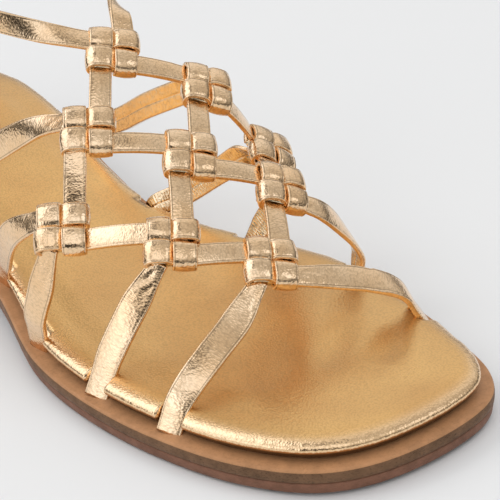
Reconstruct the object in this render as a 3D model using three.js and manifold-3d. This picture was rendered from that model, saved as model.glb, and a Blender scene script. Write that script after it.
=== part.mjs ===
// Gladiator sandal for the right foot, in millimetres.
// +Y points to the toe, +X to the outer side of the foot and +Z up from the floor.
// Lengths are taken from the back of the heel seat, and the last group moves the origin under the heel.

import * as THREE from 'three';
import { mergeVertices } from 'three/addons/utils/BufferGeometryUtils.js';
import Module from 'manifold-3d';

const wasm = await Module();
wasm.setup();

// Driving dimensions of the sole
const HEEL_RISE = 16;
const RISE_FROM = 36;
const RISE_TO = 157;
const TOE_SPRING = 0.8;
const SPRING_FROM = 190;
const SPRING_LENGTH = 62;
const OUTSOLE_THICKNESS = 3.4;
const MIDSOLE_THICKNESS = 3.4;
const INSOLE_THICKNESS = 5.3;
const LEDGE_WIDTH = 3.6;
const GAP = 0.3;
const HEEL_BREAST = 62;
const TOP_PIECE_THICKNESS = 3;
const HEEL_INSET = 1.2;
const HEEL_FOOTPRINT_CENTRE = 32;

// Driving dimensions of the straps
const STRAP_WIDTH = 5.8;
const STRAP_THICKNESS = 1.8;
const STRAP_EDGE = 0.5;
const STRAP_STEP = 6;
const SPAN_STEPS = 3;
const SPAN_BEND_RADIUS = 60;
const KNOT_HOLD = 22;
const KNOT_TURN = 15;
const LOOP_THICKNESS = 1.5;
const LOOP_WIDTH = 6;
const KNOT_HALF = 5.8;
const KNOT_DEPTH = 2;
const KNOT_UNDER = -1.1;
const KNOT_TOP = 2;
const NOTCH_CLEARANCE = 0.6;
const LEG_SPARE = 1.5;
const LEG_LEAN = 3.6;
const LEG_TURN = 0.35;

// Heights over the floor's curve
const LEDGE_TOP = OUTSOLE_THICKNESS + GAP + MIDSOLE_THICKNESS;
const INSOLE_BASE = LEDGE_TOP + GAP;
const INSOLE_TOP = INSOLE_BASE + INSOLE_THICKNESS;

// Half widths of the insole at stations along the foot
const INSOLE_WIDTHS = [
  { y: 7, inner: -16.7, outer: 17.0 },
  { y: 28, inner: -27.0, outer: 26.6 },
  { y: 57, inner: -27.1, outer: 26.6 },
  { y: 92, inner: -21.2, outer: 26.7 },
  { y: 123, inner: -20.7, outer: 31.5 },
  { y: 155, inner: -32.4, outer: 40.6 },
  { y: 178, inner: -39.1, outer: 42.0 },
  { y: 203, inner: -38.8, outer: 39.0 },
  { y: 226, inner: -34.6, outer: 31.9 },
  { y: 241, inner: -29.9, outer: 21.9 },
  { y: 248, inner: -23.6, outer: 9.6 },
];
const HEEL_BACK = { x: 0, y: 0.2 };
const TOE_TIP = { x: -10.7, y: 250.6 };

// Height of the last over the insole, along its ridge
const LAST_HEIGHTS = [
  { y: 60, height: 88 },
  { y: 90, height: 82 },
  { y: 115, height: 72 },
  { y: 137, height: 60 },
  { y: 167, height: 41 },
  { y: 197, height: 21 },
  { y: 215, height: 15 },
  { y: 250, height: 8 },
];
const LAST_RIDGE = -6;
const LAST_SPREAD = 4;
const LAST_SQUARENESS = 2.4;

// Ankle that the strap goes round: its middle, and where the instep's own slope takes over
const ANKLE = { x: 0, y: 64, blendFrom: 108, blendTo: 142, lowest: 60, highest: 74 };

// Middles of the nine woven knots, on top of the last
const KNOTS = [
  [{ x: -3.4, y: 137.0, z: 73.7 }, { x: -21.5, y: 152.5, z: 61.6 }, { x: -35.5, y: 159.8, z: 40.3 }],
  [{ x: 15.1, y: 149.2, z: 61.3 }, { x: -3.2, y: 167.6, z: 53.7 }, { x: -21.5, y: 181.0, z: 41.8 }],
  [{ x: 31.7, y: 157.3, z: 42.5 }, { x: 15.2, y: 181.6, z: 40.8 }, { x: -3.0, y: 197.7, z: 33.8 }],
];

// Legs from a knot's side down to the ledge: way points in between and the place on the insole's edge
const LEGS = [
  { row: 2, column: 0, side: 'rowStart', edge: 'outer', y: 119.5, via: [[35.5, 137, 34.2], [33.5, 126, 21]] },
  {
    row: 2, column: 0, side: 'columnEnd', edge: 'outer', y: 150.5,
    via: [[39.2, 155.3, 26.8], [41, 153, 18]],
  },
  {
    row: 2, column: 1, side: 'columnEnd', edge: 'outer', y: 180,
    via: [[28.2, 181.6, 28.4], [32.3, 181.1, 23.2], [36.5, 180.4, 17]],
  },
  {
    row: 2, column: 2, side: 'columnEnd', edge: 'outer', y: 205.7,
    via: [[13.1, 202, 24.8], [22.9, 204.5, 21.4], [31, 205.7, 17.2]],
  },
  {
    row: 2, column: 2, side: 'rowEnd', edge: 'inner', y: 217.5,
    via: [[-15.4, 206, 27.1], [-23.1, 210, 24.5], [-31, 213.5, 19.4]],
  },
  {
    row: 1, column: 2, side: 'rowEnd', edge: 'inner', y: 186.5,
    via: [[-28.2, 187, 34], [-35.2, 187.5, 25.4], [-39.9, 187.5, 16.4]],
  },
  {
    row: 0, column: 2, side: 'rowEnd', edge: 'inner', y: 151.2,
    via: [[-37.3, 159, 24.3], [-35.7, 155, 17.6], [-34, 153, 13.7]],
  },
  {
    row: 0, column: 2, side: 'columnStart', edge: 'inner', y: 119,
    via: [[-34.2, 147.5, 34.3], [-32.6, 141, 29.1], [-30.9, 135, 24.5], [-28.9, 130.5, 20.8], [-26.6, 126, 17.2]],
  },
  { row: 0, column: 1, side: 'columnStart', edge: 'inner', y: 76.5, via: [[-27, 114, 42], [-28, 93.5, 30]] },
  { row: 1, column: 0, side: 'rowStart', edge: 'outer', y: 78, via: [[20.5, 129.1, 56.5], [28.5, 101, 38]] },
];

// Ankle strap, from the inner side of the first knot round the heel to its outer side
const ANKLE_ROUTE = [
  [-12, 128.9, 78.4], [-16.8, 118.4, 79], [-25, 100, 82.5], [-31, 79, 87], [-31.5, 57, 91], [-26.5, 36, 94.5],
  [-15, 20.5, 96.8], [0, 14.5, 97.5], [15, 20.5, 97], [27, 37, 95.4], [32.5, 58, 92.8], [32, 79, 89.6],
  [25.5, 98, 85.4], [15.8, 113, 81.4], [7.5, 121.8, 77.8],
];

// Straps from the sole's heel part up to the ankle strap
const HEEL_STRAPS = [
  { edge: 'inner', y: 24, via: [-27, 21.5, 60], top: [-16.6, 22, 96.3] },
  { edge: 'outer', y: 24, via: [27, 21.5, 60], top: [16.6, 22, 96.7] },
];

// Buckle, free strap end and keeper, along the ankle strap from the buckle's middle
const BUCKLE = { x: 32.6, y: 68, length: 13, width: 12.4, bar: 1.7, corner: 2.2 };
const FREE_END = { length: 27, width: 5.6, thickness: 1.4 };
const KEEPER = { from: 15, length: 4, wall: 1.1 };

const MATERIALS = {
  strapLeather: material(0xd9bb86, 0.3, 0.9),
  insoleLeather: material(0xd8b06c, 0.42, 0.7),
  ledgeLeather: material(0xb98458, 0.65, 0),
  outsoleLeather: material(0x7d5a48, 0.6, 0),
  heelStack: material(0x6f4d3a, 0.6, 0),
  rubber: material(0x3c302a, 0.85, 0),
  goldMetal: material(0xe0bf7a, 0.2, 1),
};

function material(color, roughness, metalness) {
  return new THREE.MeshStandardMaterial({ color, roughness, metalness });
}

function vector(list) {
  return new THREE.Vector3(list[0], list[1], list[2]);
}

function smooth(value, from, to) {
  const t = THREE.MathUtils.clamp((value - from) / (to - from), 0, 1);
  return t * t * (3 - 2 * t);
}

// Height of the sole's underside over the floor
function rise(y) {
  const spring = Math.max(0, y - SPRING_FROM) / SPRING_LENGTH;
  return HEEL_RISE * (1 - smooth(y, RISE_FROM, RISE_TO)) + TOE_SPRING * spring * spring;
}

// Closed outline of the insole, from the heel's back along the inner side to the toe and back
const insoleCurve = new THREE.CatmullRomCurve3([
  new THREE.Vector3(HEEL_BACK.x, HEEL_BACK.y, 0),
  ...INSOLE_WIDTHS.map((row) => new THREE.Vector3(row.inner, row.y, 0)),
  new THREE.Vector3(TOE_TIP.x, TOE_TIP.y, 0),
  ...INSOLE_WIDTHS.slice().reverse().map((row) => new THREE.Vector3(row.outer, row.y, 0)),
], true, 'centripetal');

const OUTLINE_SAMPLES = 480;
const insolePoints = insoleCurve.getPoints(OUTLINE_SAMPLES).slice(0, OUTLINE_SAMPLES);

// The outline spread outwards, as two sides that run from heel to toe
function spreadSides(spread) {
  const moved = insolePoints.map((point, index) => {
    const before = insolePoints[(index + OUTLINE_SAMPLES - 1) % OUTLINE_SAMPLES];
    const after = insolePoints[(index + 1) % OUTLINE_SAMPLES];
    const along = after.clone().sub(before).normalize();
    return { x: point.x - along.y * spread, y: point.y + along.x * spread };
  });
  let lowest = 0;
  let highest = 0;
  moved.forEach((point, index) => {
    if (point.y < moved[lowest].y) lowest = index;
    if (point.y > moved[highest].y) highest = index;
  });
  const walk = (from, to) => {
    const side = [];
    for (let index = from; index !== to; index = (index + 1) % OUTLINE_SAMPLES) side.push(moved[index]);
    side.push(moved[to]);
    return side;
  };
  return { inner: walk(lowest, highest), outer: walk(highest, lowest).reverse() };
}

// x of one side at a station y
function sideAt(side, y) {
  for (let index = 1; index < side.length; index += 1) {
    if (side[index].y >= y) {
      const before = side[index - 1];
      const share = (y - before.y) / Math.max(side[index].y - before.y, 1e-6);
      return THREE.MathUtils.lerp(before.x, side[index].x, THREE.MathUtils.clamp(share, 0, 1));
    }
  }
  return side[side.length - 1].x;
}

const insoleSides = spreadSides(0);

function edgeX(edge, y) {
  return sideAt(insoleSides[edge], y);
}

// One ring of a sole layer: the inner side from heel to toe, then the outer side back.
// A ring that ends at cutY is square there, and any other closes on the toe's tip.
function ring(level, stations, cutY) {
  const { inner, outer } = spreadSides(level.spread);
  const first = inner[0].y;
  const last = cutY ?? inner[inner.length - 1].y;
  const turn = cutY === undefined ? Math.PI : Math.PI / 2;
  const full = 1 - Math.cos(turn);
  const ys = [];
  for (let k = 0; k <= stations; k += 1) {
    ys.push(first + (last - first) * (1 - Math.cos(turn * k / stations)) / full);
  }
  const point = (x, y) => new THREE.Vector3(x, y, level.height(y));
  const points = ys.map((y) => point(sideAt(inner, y), y));
  const backFrom = cutY === undefined ? stations - 1 : stations;
  for (let k = backFrom; k >= 1; k -= 1) points.push(point(sideAt(outer, ys[k]), ys[k]));
  return points;
}

// Layer of the sole, from rings that share their stations, lowest ring first
function soleLayer(levels, stations, cutY) {
  const rings = levels.map((level) => ring(level, stations, cutY));
  const count = rings[0].length;
  const positions = rings.flat();
  const faces = [];
  for (let level = 0; level + 1 < rings.length; level += 1) {
    for (let index = 0; index < count; index += 1) {
      const next = (index + 1) % count;
      const low = level * count;
      const high = low + count;
      faces.push([low + index, high + index, high + next], [low + index, high + next, low + next]);
    }
  }
  const outerIndex = (k) => (count - k) % count;
  const top = (rings.length - 1) * count;
  for (let k = 0; k < stations; k += 1) {
    const corners = [k, outerIndex(k), outerIndex(k + 1), k + 1];
    for (const [a, b, c] of [[0, 1, 2], [0, 2, 3]]) {
      const face = [corners[a], corners[b], corners[c]];
      if (new Set(face).size < 3) continue;
      faces.push(face.map((index) => index + top), [face[2], face[1], face[0]]);
    }
  }
  return geometryOf(positions, faces);
}

function geometryOf(points, faces) {
  const geometry = new THREE.BufferGeometry();
  const coordinates = points.flatMap((point) => [point.x, point.y, point.z]);
  geometry.setAttribute('position', new THREE.Float32BufferAttribute(coordinates, 3));
  geometry.setIndex(faces.flat());
  return geometry;
}

// Solids for joining and cutting
function solidOf(geometry) {
  const bare = geometry.clone();
  bare.deleteAttribute('normal');
  bare.deleteAttribute('uv');
  const merged = mergeVertices(bare, 1e-4);
  return new wasm.Manifold(new wasm.Mesh({
    numProp: 3,
    vertProperties: new Float32Array(merged.attributes.position.array),
    triVerts: new Uint32Array(merged.index.array),
  }));
}

function geometryFrom(solid) {
  const mesh = solid.getMesh();
  const geometry = new THREE.BufferGeometry();
  geometry.setAttribute('position', new THREE.BufferAttribute(new Float32Array(mesh.vertProperties), 3));
  geometry.setIndex(new THREE.BufferAttribute(new Uint32Array(mesh.triVerts), 1));
  return geometry;
}

function joined(solids) {
  return solids.reduce((sum, solid) => sum.add(solid));
}

// The last
function lastHeight(y) {
  const rows = LAST_HEIGHTS;
  const clamped = THREE.MathUtils.clamp(y, rows[0].y, rows[rows.length - 1].y);
  const index = Math.min(rows.findIndex((row) => row.y >= clamped), rows.length - 1);
  if (index === 0) return rows[0].height;
  const share = (clamped - rows[index - 1].y) / (rows[index].y - rows[index - 1].y);
  return THREE.MathUtils.lerp(rows[index - 1].height, rows[index].height, share);
}

// Zero on the last's skin, more outside it
function lastField(point) {
  const half = point.x > LAST_RIDGE
    ? edgeX('outer', point.y) - LAST_RIDGE + LAST_SPREAD
    : LAST_RIDGE - edgeX('inner', point.y) + LAST_SPREAD;
  const base = rise(point.y) + INSOLE_TOP;
  const across = Math.abs(point.x - LAST_RIDGE) / half;
  const up = Math.max(0, point.z - base) / lastHeight(point.y);
  return across ** LAST_SQUARENESS + up ** LAST_SQUARENESS;
}

// Direction that a strap's face looks in: off the last, and off the ankle behind the instep
function skinNormal(point) {
  const reach = 3;
  const slope = new THREE.Vector3();
  for (const axis of ['x', 'y', 'z']) {
    const ahead = point.clone();
    const behind = point.clone();
    ahead[axis] += reach;
    behind[axis] -= reach;
    slope[axis] = lastField(ahead) - lastField(behind);
  }
  slope.normalize();
  const round = new THREE.Vector3(point.x - ANKLE.x, point.y - ANKLE.y, 0).normalize();
  const share = (1 - smooth(point.y, ANKLE.blendFrom, ANKLE.blendTo))
    * smooth(point.z, ANKLE.lowest, ANKLE.highest);
  const side = new THREE.Vector3(Math.sign(point.x), 0, 0);
  const behind = (1 - smooth(point.y, 40, 90)) * (1 - smooth(point.z, ANKLE.lowest, ANKLE.highest));
  return slope.lerp(side, behind).lerp(round, share).normalize();
}

// Cross-sections of a strap as [across, out] pairs: flat with worn edges, and plain
function wornSection(width, thickness) {
  const half = width / 2;
  const out = thickness / 2;
  return [
    [-half, 0], [STRAP_EDGE - half, -out], [half - STRAP_EDGE, -out],
    [half, 0], [half - STRAP_EDGE, out], [STRAP_EDGE - half, out],
  ];
}

function plainSection(width, thickness) {
  const half = width / 2;
  const out = thickness / 2;
  return [[-half, -out], [half, -out], [half, out], [-half, out]];
}

// Strap swept along points, its face turned to the normal at each of them
function strip(points, normals, section) {
  const positions = [];
  const count = section.length;
  points.forEach((point, index) => {
    const before = points[Math.max(index - 1, 0)];
    const after = points[Math.min(index + 1, points.length - 1)];
    const along = after.clone().sub(before).normalize();
    const across = along.clone().cross(normals[index]).normalize();
    const out = across.clone().cross(along);
    for (const [side, lift] of section) {
      positions.push(point.clone().addScaledVector(across, side).addScaledVector(out, lift));
    }
  });
  const faces = [];
  for (let step = 0; step + 1 < points.length; step += 1) {
    for (let index = 0; index < count; index += 1) {
      const next = (index + 1) % count;
      const low = step * count;
      const high = low + count;
      faces.push([low + index, high + next, high + index], [low + index, low + next, high + next]);
    }
  }
  const end = (points.length - 1) * count;
  for (let index = 1; index + 1 < count; index += 1) {
    faces.push([0, index + 1, index], [end, end + index, end + index + 1]);
  }
  return orientedSolid(positions, faces);
}

// Closed solid with its faces out, whichever way its sweep ran
function orientedSolid(positions, faces) {
  const solid = solidOf(geometryOf(positions, faces));
  if (solid.volume() > 0) return solid;
  return solidOf(geometryOf(positions, faces.map(([a, b, c]) => [a, c, b])));
}

// Strap along a route, its face on the skin of the last, and turned to the knots where it leaves them.
// A turn swings the face towards the toe.
function strapPath({ route, startNormal, endNormal, turn }) {
  const curve = new THREE.CatmullRomCurve3(route, false, 'centripetal');
  const steps = Math.max(3, Math.round(curve.getLength() / STRAP_STEP));
  const points = curve.getSpacedPoints(steps);
  const normals = points.map((point, index) => {
    const travelled = index / steps * curve.getLength();
    const left = curve.getLength() - travelled;
    const normal = skinNormal(point);
    normal.y += turn;
    normal.normalize();
    if (startNormal) normal.lerp(startNormal, 1 - smooth(travelled, 0, KNOT_HOLD));
    if (endNormal) normal.lerp(endNormal, 1 - smooth(left, 0, KNOT_HOLD));
    return normal.normalize();
  });
  return { points, normals };
}

function routedStrap(strap) {
  const { points, normals } = strapPath(strap);
  return strip(points, normals, wornSection(STRAP_WIDTH, STRAP_THICKNESS));
}

// Mean outward direction of the net's meshes round a knot
function netNormal(centre, row, column) {
  const sum = new THREE.Vector3();
  for (const r of [row - 1, row]) {
    for (const c of [column - 1, column]) {
      if (r < 0 || r > 1 || c < 0 || c > 1) continue;
      const across = centre(r, c + 1).sub(centre(r, c)).add(centre(r + 1, c + 1)).sub(centre(r + 1, c));
      const down = centre(r + 1, c).sub(centre(r, c)).add(centre(r + 1, c + 1)).sub(centre(r, c + 1));
      sum.add(down.cross(across).normalize());
    }
  }
  return sum.normalize();
}

// Middle and directions of a knot: along its row, down its column and out.
// Each strap shifts sideways in a knot, so the knot stands turned against the net's lines.
function knotFrame(row, column) {
  const centre = (r, c) => {
    const knot = KNOTS[THREE.MathUtils.clamp(r, 0, 2)][THREE.MathUtils.clamp(c, 0, 2)];
    return new THREE.Vector3(knot.x, knot.y, knot.z);
  };
  const middle = centre(row, column);
  const out = netNormal(centre, row, column);
  const flatten = (direction) => direction.addScaledVector(out, -direction.dot(out)).normalize();
  const rowWay = flatten(centre(row, column + 1).sub(centre(row, column - 1)));
  const columnWay = flatten(centre(row + 1, column).sub(centre(row - 1, column)));
  const even = rowWay.clone().add(columnWay).normalize();
  const odd = rowWay.clone().sub(columnWay).normalize();
  const rowEven = even.clone().add(odd).normalize();
  const columnEven = even.clone().sub(odd).normalize();
  const turn = THREE.MathUtils.degToRad(KNOT_TURN);
  return {
    base: middle.addScaledVector(out, -KNOT_DEPTH),
    out,
    along: rowEven.clone().multiplyScalar(Math.cos(turn)).addScaledVector(columnEven, -Math.sin(turn)),
    down: columnEven.clone().multiplyScalar(Math.cos(turn)).addScaledVector(rowEven, Math.sin(turn)),
  };
}

const knotFrames = KNOTS.map((list, row) => list.map((_, column) => knotFrame(row, column)));

function inKnot(frame, along, down, out) {
  return frame.base.clone()
    .addScaledVector(frame.along, along)
    .addScaledVector(frame.down, down)
    .addScaledVector(frame.out, out);
}

// Where the straps go in and out: each shifts by its own width on its way through the knot
const PORT_REACH = KNOT_HALF - 1;
const PORT_SHIFT = 3.2;
const PORTS = {
  rowStart: [-PORT_REACH, -PORT_SHIFT],
  rowEnd: [PORT_REACH, PORT_SHIFT],
  columnStart: [PORT_SHIFT, -PORT_REACH],
  columnEnd: [-PORT_SHIFT, PORT_REACH],
};

function port(row, column, side) {
  const [along, down] = PORTS[side];
  return inKnot(knotFrames[row][column], along, down, 0.3);
}

// Height and reach of a woven loop over its knot, from the wrapped edge inwards
const LOOP_PROFILE = [
  { reach: 6.1, out: -0.4 }, { reach: 6.1, out: 1.7 }, { reach: 4.6, out: 3.1 },
  { reach: 1.6, out: 3.3 }, { reach: -1.2, out: 1.9 },
];

function knotSolid(frame) {
  const body = [];
  for (const out of [KNOT_UNDER, KNOT_TOP]) {
    for (const [a, d] of [[-1, -1], [1, -1], [1, 1], [-1, 1]]) {
      body.push(inKnot(frame, a * KNOT_HALF, d * KNOT_HALF, out));
    }
  }
  const faces = [[0, 1, 2], [0, 2, 3], [4, 6, 5], [4, 7, 6]];
  for (let index = 0; index < 4; index += 1) {
    const next = (index + 1) % 4;
    faces.push([index, next + 4, next], [index, index + 4, next + 4]);
  }
  const pieces = [orientedSolid(body, faces)];
  const quarters = [
    { outward: [0, -1], sideways: [-1, 0] }, { outward: [1, 0], sideways: [0, -1] },
    { outward: [0, 1], sideways: [1, 0] }, { outward: [-1, 0], sideways: [0, 1] },
  ];
  for (const { outward, sideways } of quarters) {
    const points = LOOP_PROFILE.map(({ reach, out }) => inKnot(
      frame,
      outward[0] * reach + sideways[0] * PORT_SHIFT,
      outward[1] * reach + sideways[1] * PORT_SHIFT,
      out,
    ));
    const normals = points.map((point, index) => {
      const tip = points[Math.min(index + 1, points.length - 1)].clone().sub(points[Math.max(index - 1, 0)]);
      const across = frame.along.clone().multiplyScalar(sideways[0]).addScaledVector(frame.down, sideways[1]);
      return tip.cross(across).normalize();
    });
    pieces.push(strip(points, normals, plainSection(LOOP_WIDTH, LOOP_THICKNESS)));
  }
  return joined(pieces);
}

// Straps of the net between its knots
function netSpans() {
  const spans = [];
  for (let row = 0; row < 3; row += 1) {
    for (let column = 0; column < 3; column += 1) {
      if (column < 2) spans.push(netSpan([row, column, 'rowEnd'], [row, column + 1, 'rowStart']));
      if (row < 2) spans.push(netSpan([row, column, 'columnEnd'], [row + 1, column, 'columnStart']));
    }
  }
  return spans;
}

// Short strap between two knots, bowed off the last, its face turning from one knot's to the next
function netSpan(from, to) {
  const start = port(...from);
  const end = port(...to);
  const startNormal = knotFrames[from[0]][from[1]].out;
  const endNormal = knotFrames[to[0]][to[1]].out;
  const length = end.clone().sub(start).length();
  const points = [];
  const normals = [];
  for (let step = 0; step <= SPAN_STEPS; step += 1) {
    const share = step / SPAN_STEPS;
    const normal = startNormal.clone().lerp(endNormal, share).normalize();
    const bow = 4 * share * (1 - share) * length * length / (8 * SPAN_BEND_RADIUS);
    points.push(start.clone().lerp(end, share).addScaledVector(normal, bow));
    normals.push(normal);
  }
  return strip(points, normals, wornSection(STRAP_WIDTH, STRAP_THICKNESS));
}

// Lower end of a leg: leans over the insole's edge towards its last way point, and goes down to the ledge.
// A leg that comes in low has no need to clear the edge.
function legEnd(edge, y, from) {
  const foot = new THREE.Vector3(edgeX(edge, y), y, rise(y) + LEDGE_TOP);
  const brow = INSOLE_TOP + 0.8 - LEDGE_TOP;
  const lean = from.clone().sub(foot);
  lean.multiplyScalar(brow / lean.z).setZ(0).clampLength(0, LEG_LEAN);
  const over = (share) => foot.clone().addScaledVector(lean, share).setZ(foot.z + brow * share);
  const end = [over(0.4), over(-LEG_SPARE / brow)];
  return from.z < foot.z + brow ? end : [over(1), ...end];
}

function legs() {
  const netLegs = LEGS.map(({ row, column, side, via, edge, y }) => ({
    route: [port(row, column, side), ...via.map(vector), ...legEnd(edge, y, vector(via[via.length - 1]))],
    startNormal: knotFrames[row][column].out,
    turn: LEG_TURN,
  }));
  const heelStraps = HEEL_STRAPS.map(({ edge, y, via, top }) => ({
    route: [vector(top), vector(via), ...legEnd(edge, y, vector(via))],
    turn: 0,
  }));
  return [...netLegs, ...heelStraps];
}

function ankleStrap() {
  return {
    route: [port(0, 0, 'columnStart'), ...ANKLE_ROUTE.map(vector), port(0, 0, 'rowStart')],
    startNormal: knotFrames[0][0].out,
    endNormal: knotFrames[0][0].out,
    turn: 0,
  };
}

// Everything up to a gap over the ledge, which trims the legs' ends
function ledgeTrimmer() {
  return solidOf(soleLayer([
    { spread: LEDGE_WIDTH + 2, height: over(0) },
    { spread: LEDGE_WIDTH + 2, height: over(LEDGE_TOP + GAP) },
  ], 40));
}

function upperSolid() {
  return joined([
    ...netSpans(),
    ...legs().map(routedStrap),
    routedStrap(ankleStrap()),
    ...knotFrames.flat().map(knotSolid),
  ]).subtract(ledgeTrimmer());
}

// Sole
function over(height) {
  return (y) => rise(y) + height;
}

function outsoleGeometry() {
  return soleLayer([
    { spread: LEDGE_WIDTH - 1.3, height: over(0) },
    { spread: LEDGE_WIDTH - 0.6, height: over(0.7) },
    { spread: LEDGE_WIDTH - 0.3, height: over(OUTSOLE_THICKNESS) },
  ], 40);
}

function midsoleGeometry() {
  const base = OUTSOLE_THICKNESS + GAP;
  return soleLayer([
    { spread: LEDGE_WIDTH - 0.3, height: over(base) },
    { spread: LEDGE_WIDTH, height: over(base + 1) },
    { spread: LEDGE_WIDTH, height: over(LEDGE_TOP - 0.5) },
    { spread: LEDGE_WIDTH - 0.5, height: over(LEDGE_TOP) },
  ], 40);
}

// Padded insole, with a notch for each strap that goes down past its edge
function insoleGeometry() {
  const pad = soleLayer([
    { spread: -1, height: over(INSOLE_BASE) },
    { spread: 0, height: over(INSOLE_BASE + 1.2) },
    { spread: 0.2, height: over(INSOLE_BASE + 2.6) },
    { spread: -0.5, height: over(INSOLE_BASE + 4.2) },
    { spread: -2.4, height: over(INSOLE_TOP - 0.1) },
    { spread: -6, height: over(INSOLE_TOP + 0.3) },
  ], 40);
  const section = plainSection(STRAP_WIDTH + 2 * NOTCH_CLEARANCE, STRAP_THICKNESS + 2 * NOTCH_CLEARANCE);
  const notches = legs().map((leg) => {
    const { points, normals } = strapPath(leg);
    const first = points.findIndex((point) => point.z < rise(point.y) + INSOLE_TOP + 5 * NOTCH_CLEARANCE);
    const low = points.slice(first - 1);
    const bottom = low[low.length - 1].clone();
    bottom.z -= 2;
    return strip([...low, bottom], [...normals.slice(first - 1), normals[normals.length - 1]], section);
  });
  return geometryFrom(notches.reduce((sum, notch) => sum.subtract(notch), solidOf(pad)));
}

function heelGeometry() {
  const inset = LEDGE_WIDTH - HEEL_INSET;
  return soleLayer([
    { spread: inset - 1, height: () => TOP_PIECE_THICKNESS + GAP },
    { spread: inset, height: over(-GAP) },
  ], 18, HEEL_BREAST);
}

function topPieceGeometry() {
  const inset = LEDGE_WIDTH - HEEL_INSET - 1;
  return soleLayer([
    { spread: inset - 0.5, height: () => 0 },
    { spread: inset, height: () => 0.6 },
    { spread: inset, height: () => TOP_PIECE_THICKNESS },
  ], 18, HEEL_BREAST);
}

// Place on the ankle strap at a distance behind the buckle
const ankleCurve = new THREE.CatmullRomCurve3(ankleStrap().route, false, 'centripetal');
const anklePlaces = ankleCurve.getSpacedPoints(400);
const ankleStep = ankleCurve.getLength() / 400;
const buckleIndex = anklePlaces.reduce((best, point, index) => {
  const miss = Math.hypot(point.x - BUCKLE.x, point.y - BUCKLE.y);
  const least = Math.hypot(anklePlaces[best].x - BUCKLE.x, anklePlaces[best].y - BUCKLE.y);
  return miss < least ? index : best;
}, 0);

function ankleFrame(behind) {
  const index = Math.round(buckleIndex - behind / ankleStep);
  const origin = anklePlaces[index].clone();
  const back = anklePlaces[index - 4].clone().sub(anklePlaces[index + 4]).normalize();
  const across = back.clone().cross(skinNormal(origin)).normalize();
  const out = across.clone().cross(back);
  return { origin, back, across, out };
}

// Matrix that stands a shape's x along the strap, y across it and z off the ankle
function ankleMatrix(behind, lift) {
  const { origin, back, across, out } = ankleFrame(behind);
  const flipped = across.clone().multiplyScalar(back.clone().cross(across).dot(out) < 0 ? -1 : 1);
  const matrix = new THREE.Matrix4().makeBasis(back, flipped, out);
  return matrix.setPosition(origin.addScaledVector(out, lift));
}

function roundedRectangle(length, width, corner, ShapeClass) {
  const shape = new ShapeClass();
  const x = length / 2;
  const y = width / 2;
  shape.moveTo(x, y - corner);
  shape.absarc(x - corner, y - corner, corner, 0, Math.PI / 2);
  shape.absarc(corner - x, y - corner, corner, Math.PI / 2, Math.PI);
  shape.absarc(corner - x, corner - y, corner, Math.PI, Math.PI * 1.5);
  shape.absarc(x - corner, corner - y, corner, Math.PI * 1.5, Math.PI * 2);
  return shape;
}

function flatRing(length, width, corner, wall, depth) {
  const shape = roundedRectangle(length, width, corner, THREE.Shape);
  const inner = Math.max(corner - wall, 0.3);
  shape.holes.push(roundedRectangle(length - 2 * wall, width - 2 * wall, inner, THREE.Path));
  return new THREE.ExtrudeGeometry(shape, { depth, bevelEnabled: false, curveSegments: 3 });
}

function buckleGeometry() {
  const { length, width, bar, corner } = BUCKLE;
  const frame = flatRing(length, width, corner, bar, bar);
  const prong = new THREE.BoxGeometry(4.2, 1.3, 1.1);
  prong.translate(-length / 2 + 2.2, 0, bar + 0.35);
  const solid = solidOf(frame).add(solidOf(prong));
  return geometryFrom(solid).applyMatrix4(ankleMatrix(0, STRAP_THICKNESS / 2 + GAP));
}

function freeEndGeometry() {
  const rest = STRAP_THICKNESS / 2 + GAP + FREE_END.thickness / 2;
  const overBar = rest + BUCKLE.bar + 1.5 * GAP;
  const barAt = (BUCKLE.length - BUCKLE.bar) / 2;
  const points = [];
  const normals = [];
  const overBarStations = [-2.4, 0, 2.4, 4.5, 7.5].map((past) => barAt + past);
  const stations = [-0.8, 0.6, 1.9, ...overBarStations, 17, 22, FREE_END.length];
  for (const behind of stations) {
    const { origin, out } = ankleFrame(behind);
    const near = Math.abs(behind - barAt);
    const climb = 1 - smooth(near, 2.4, behind < barAt ? 4.8 : 7.5);
    points.push(origin.addScaledVector(out, rest + (overBar - rest) * climb));
    normals.push(out);
  }
  return geometryFrom(strip(points, normals, wornSection(FREE_END.width, FREE_END.thickness)));
}

function keeperGeometry() {
  const stack = STRAP_THICKNESS + GAP + FREE_END.thickness;
  const inner = { depth: stack + 3 * GAP, width: STRAP_WIDTH + 3 * GAP };
  const walls = 2 * KEEPER.wall;
  const loop = flatRing(inner.depth + walls, inner.width + walls, 1, KEEPER.wall, KEEPER.length);
  loop.rotateY(Math.PI / 2);
  const middle = (stack - STRAP_THICKNESS) / 2;
  return geometryFrom(solidOf(loop)).applyMatrix4(ankleMatrix(KEEPER.from, middle));
}

function piece(name, geometry, finish) {
  const mesh = new THREE.Mesh(geometry, finish);
  mesh.name = name;
  return mesh;
}

const shoe = new THREE.Group();
shoe.add(
  piece('outsole', outsoleGeometry(), MATERIALS.outsoleLeather),
  piece('midsole', midsoleGeometry(), MATERIALS.ledgeLeather),
  piece('insole', insoleGeometry(), MATERIALS.insoleLeather),
  piece('heel', heelGeometry(), MATERIALS.heelStack),
  piece('heel_top_piece', topPieceGeometry(), MATERIALS.rubber),
  piece('upper', geometryFrom(upperSolid()), MATERIALS.strapLeather),
  piece('ankle_strap_end', freeEndGeometry(), MATERIALS.strapLeather),
  piece('keeper_loop', keeperGeometry(), MATERIALS.strapLeather),
  piece('buckle', buckleGeometry(), MATERIALS.goldMetal),
);
shoe.position.y = -HEEL_FOOTPRINT_CENTRE;

const sandal = new THREE.Group();
sandal.add(shoe);
export default sandal;
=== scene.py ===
"""Gladiator sandal for the right foot: its visible pieces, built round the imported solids."""

import math

import bmesh
import bpy
import numpy as np
from mathutils import Matrix, Vector, noise


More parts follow.
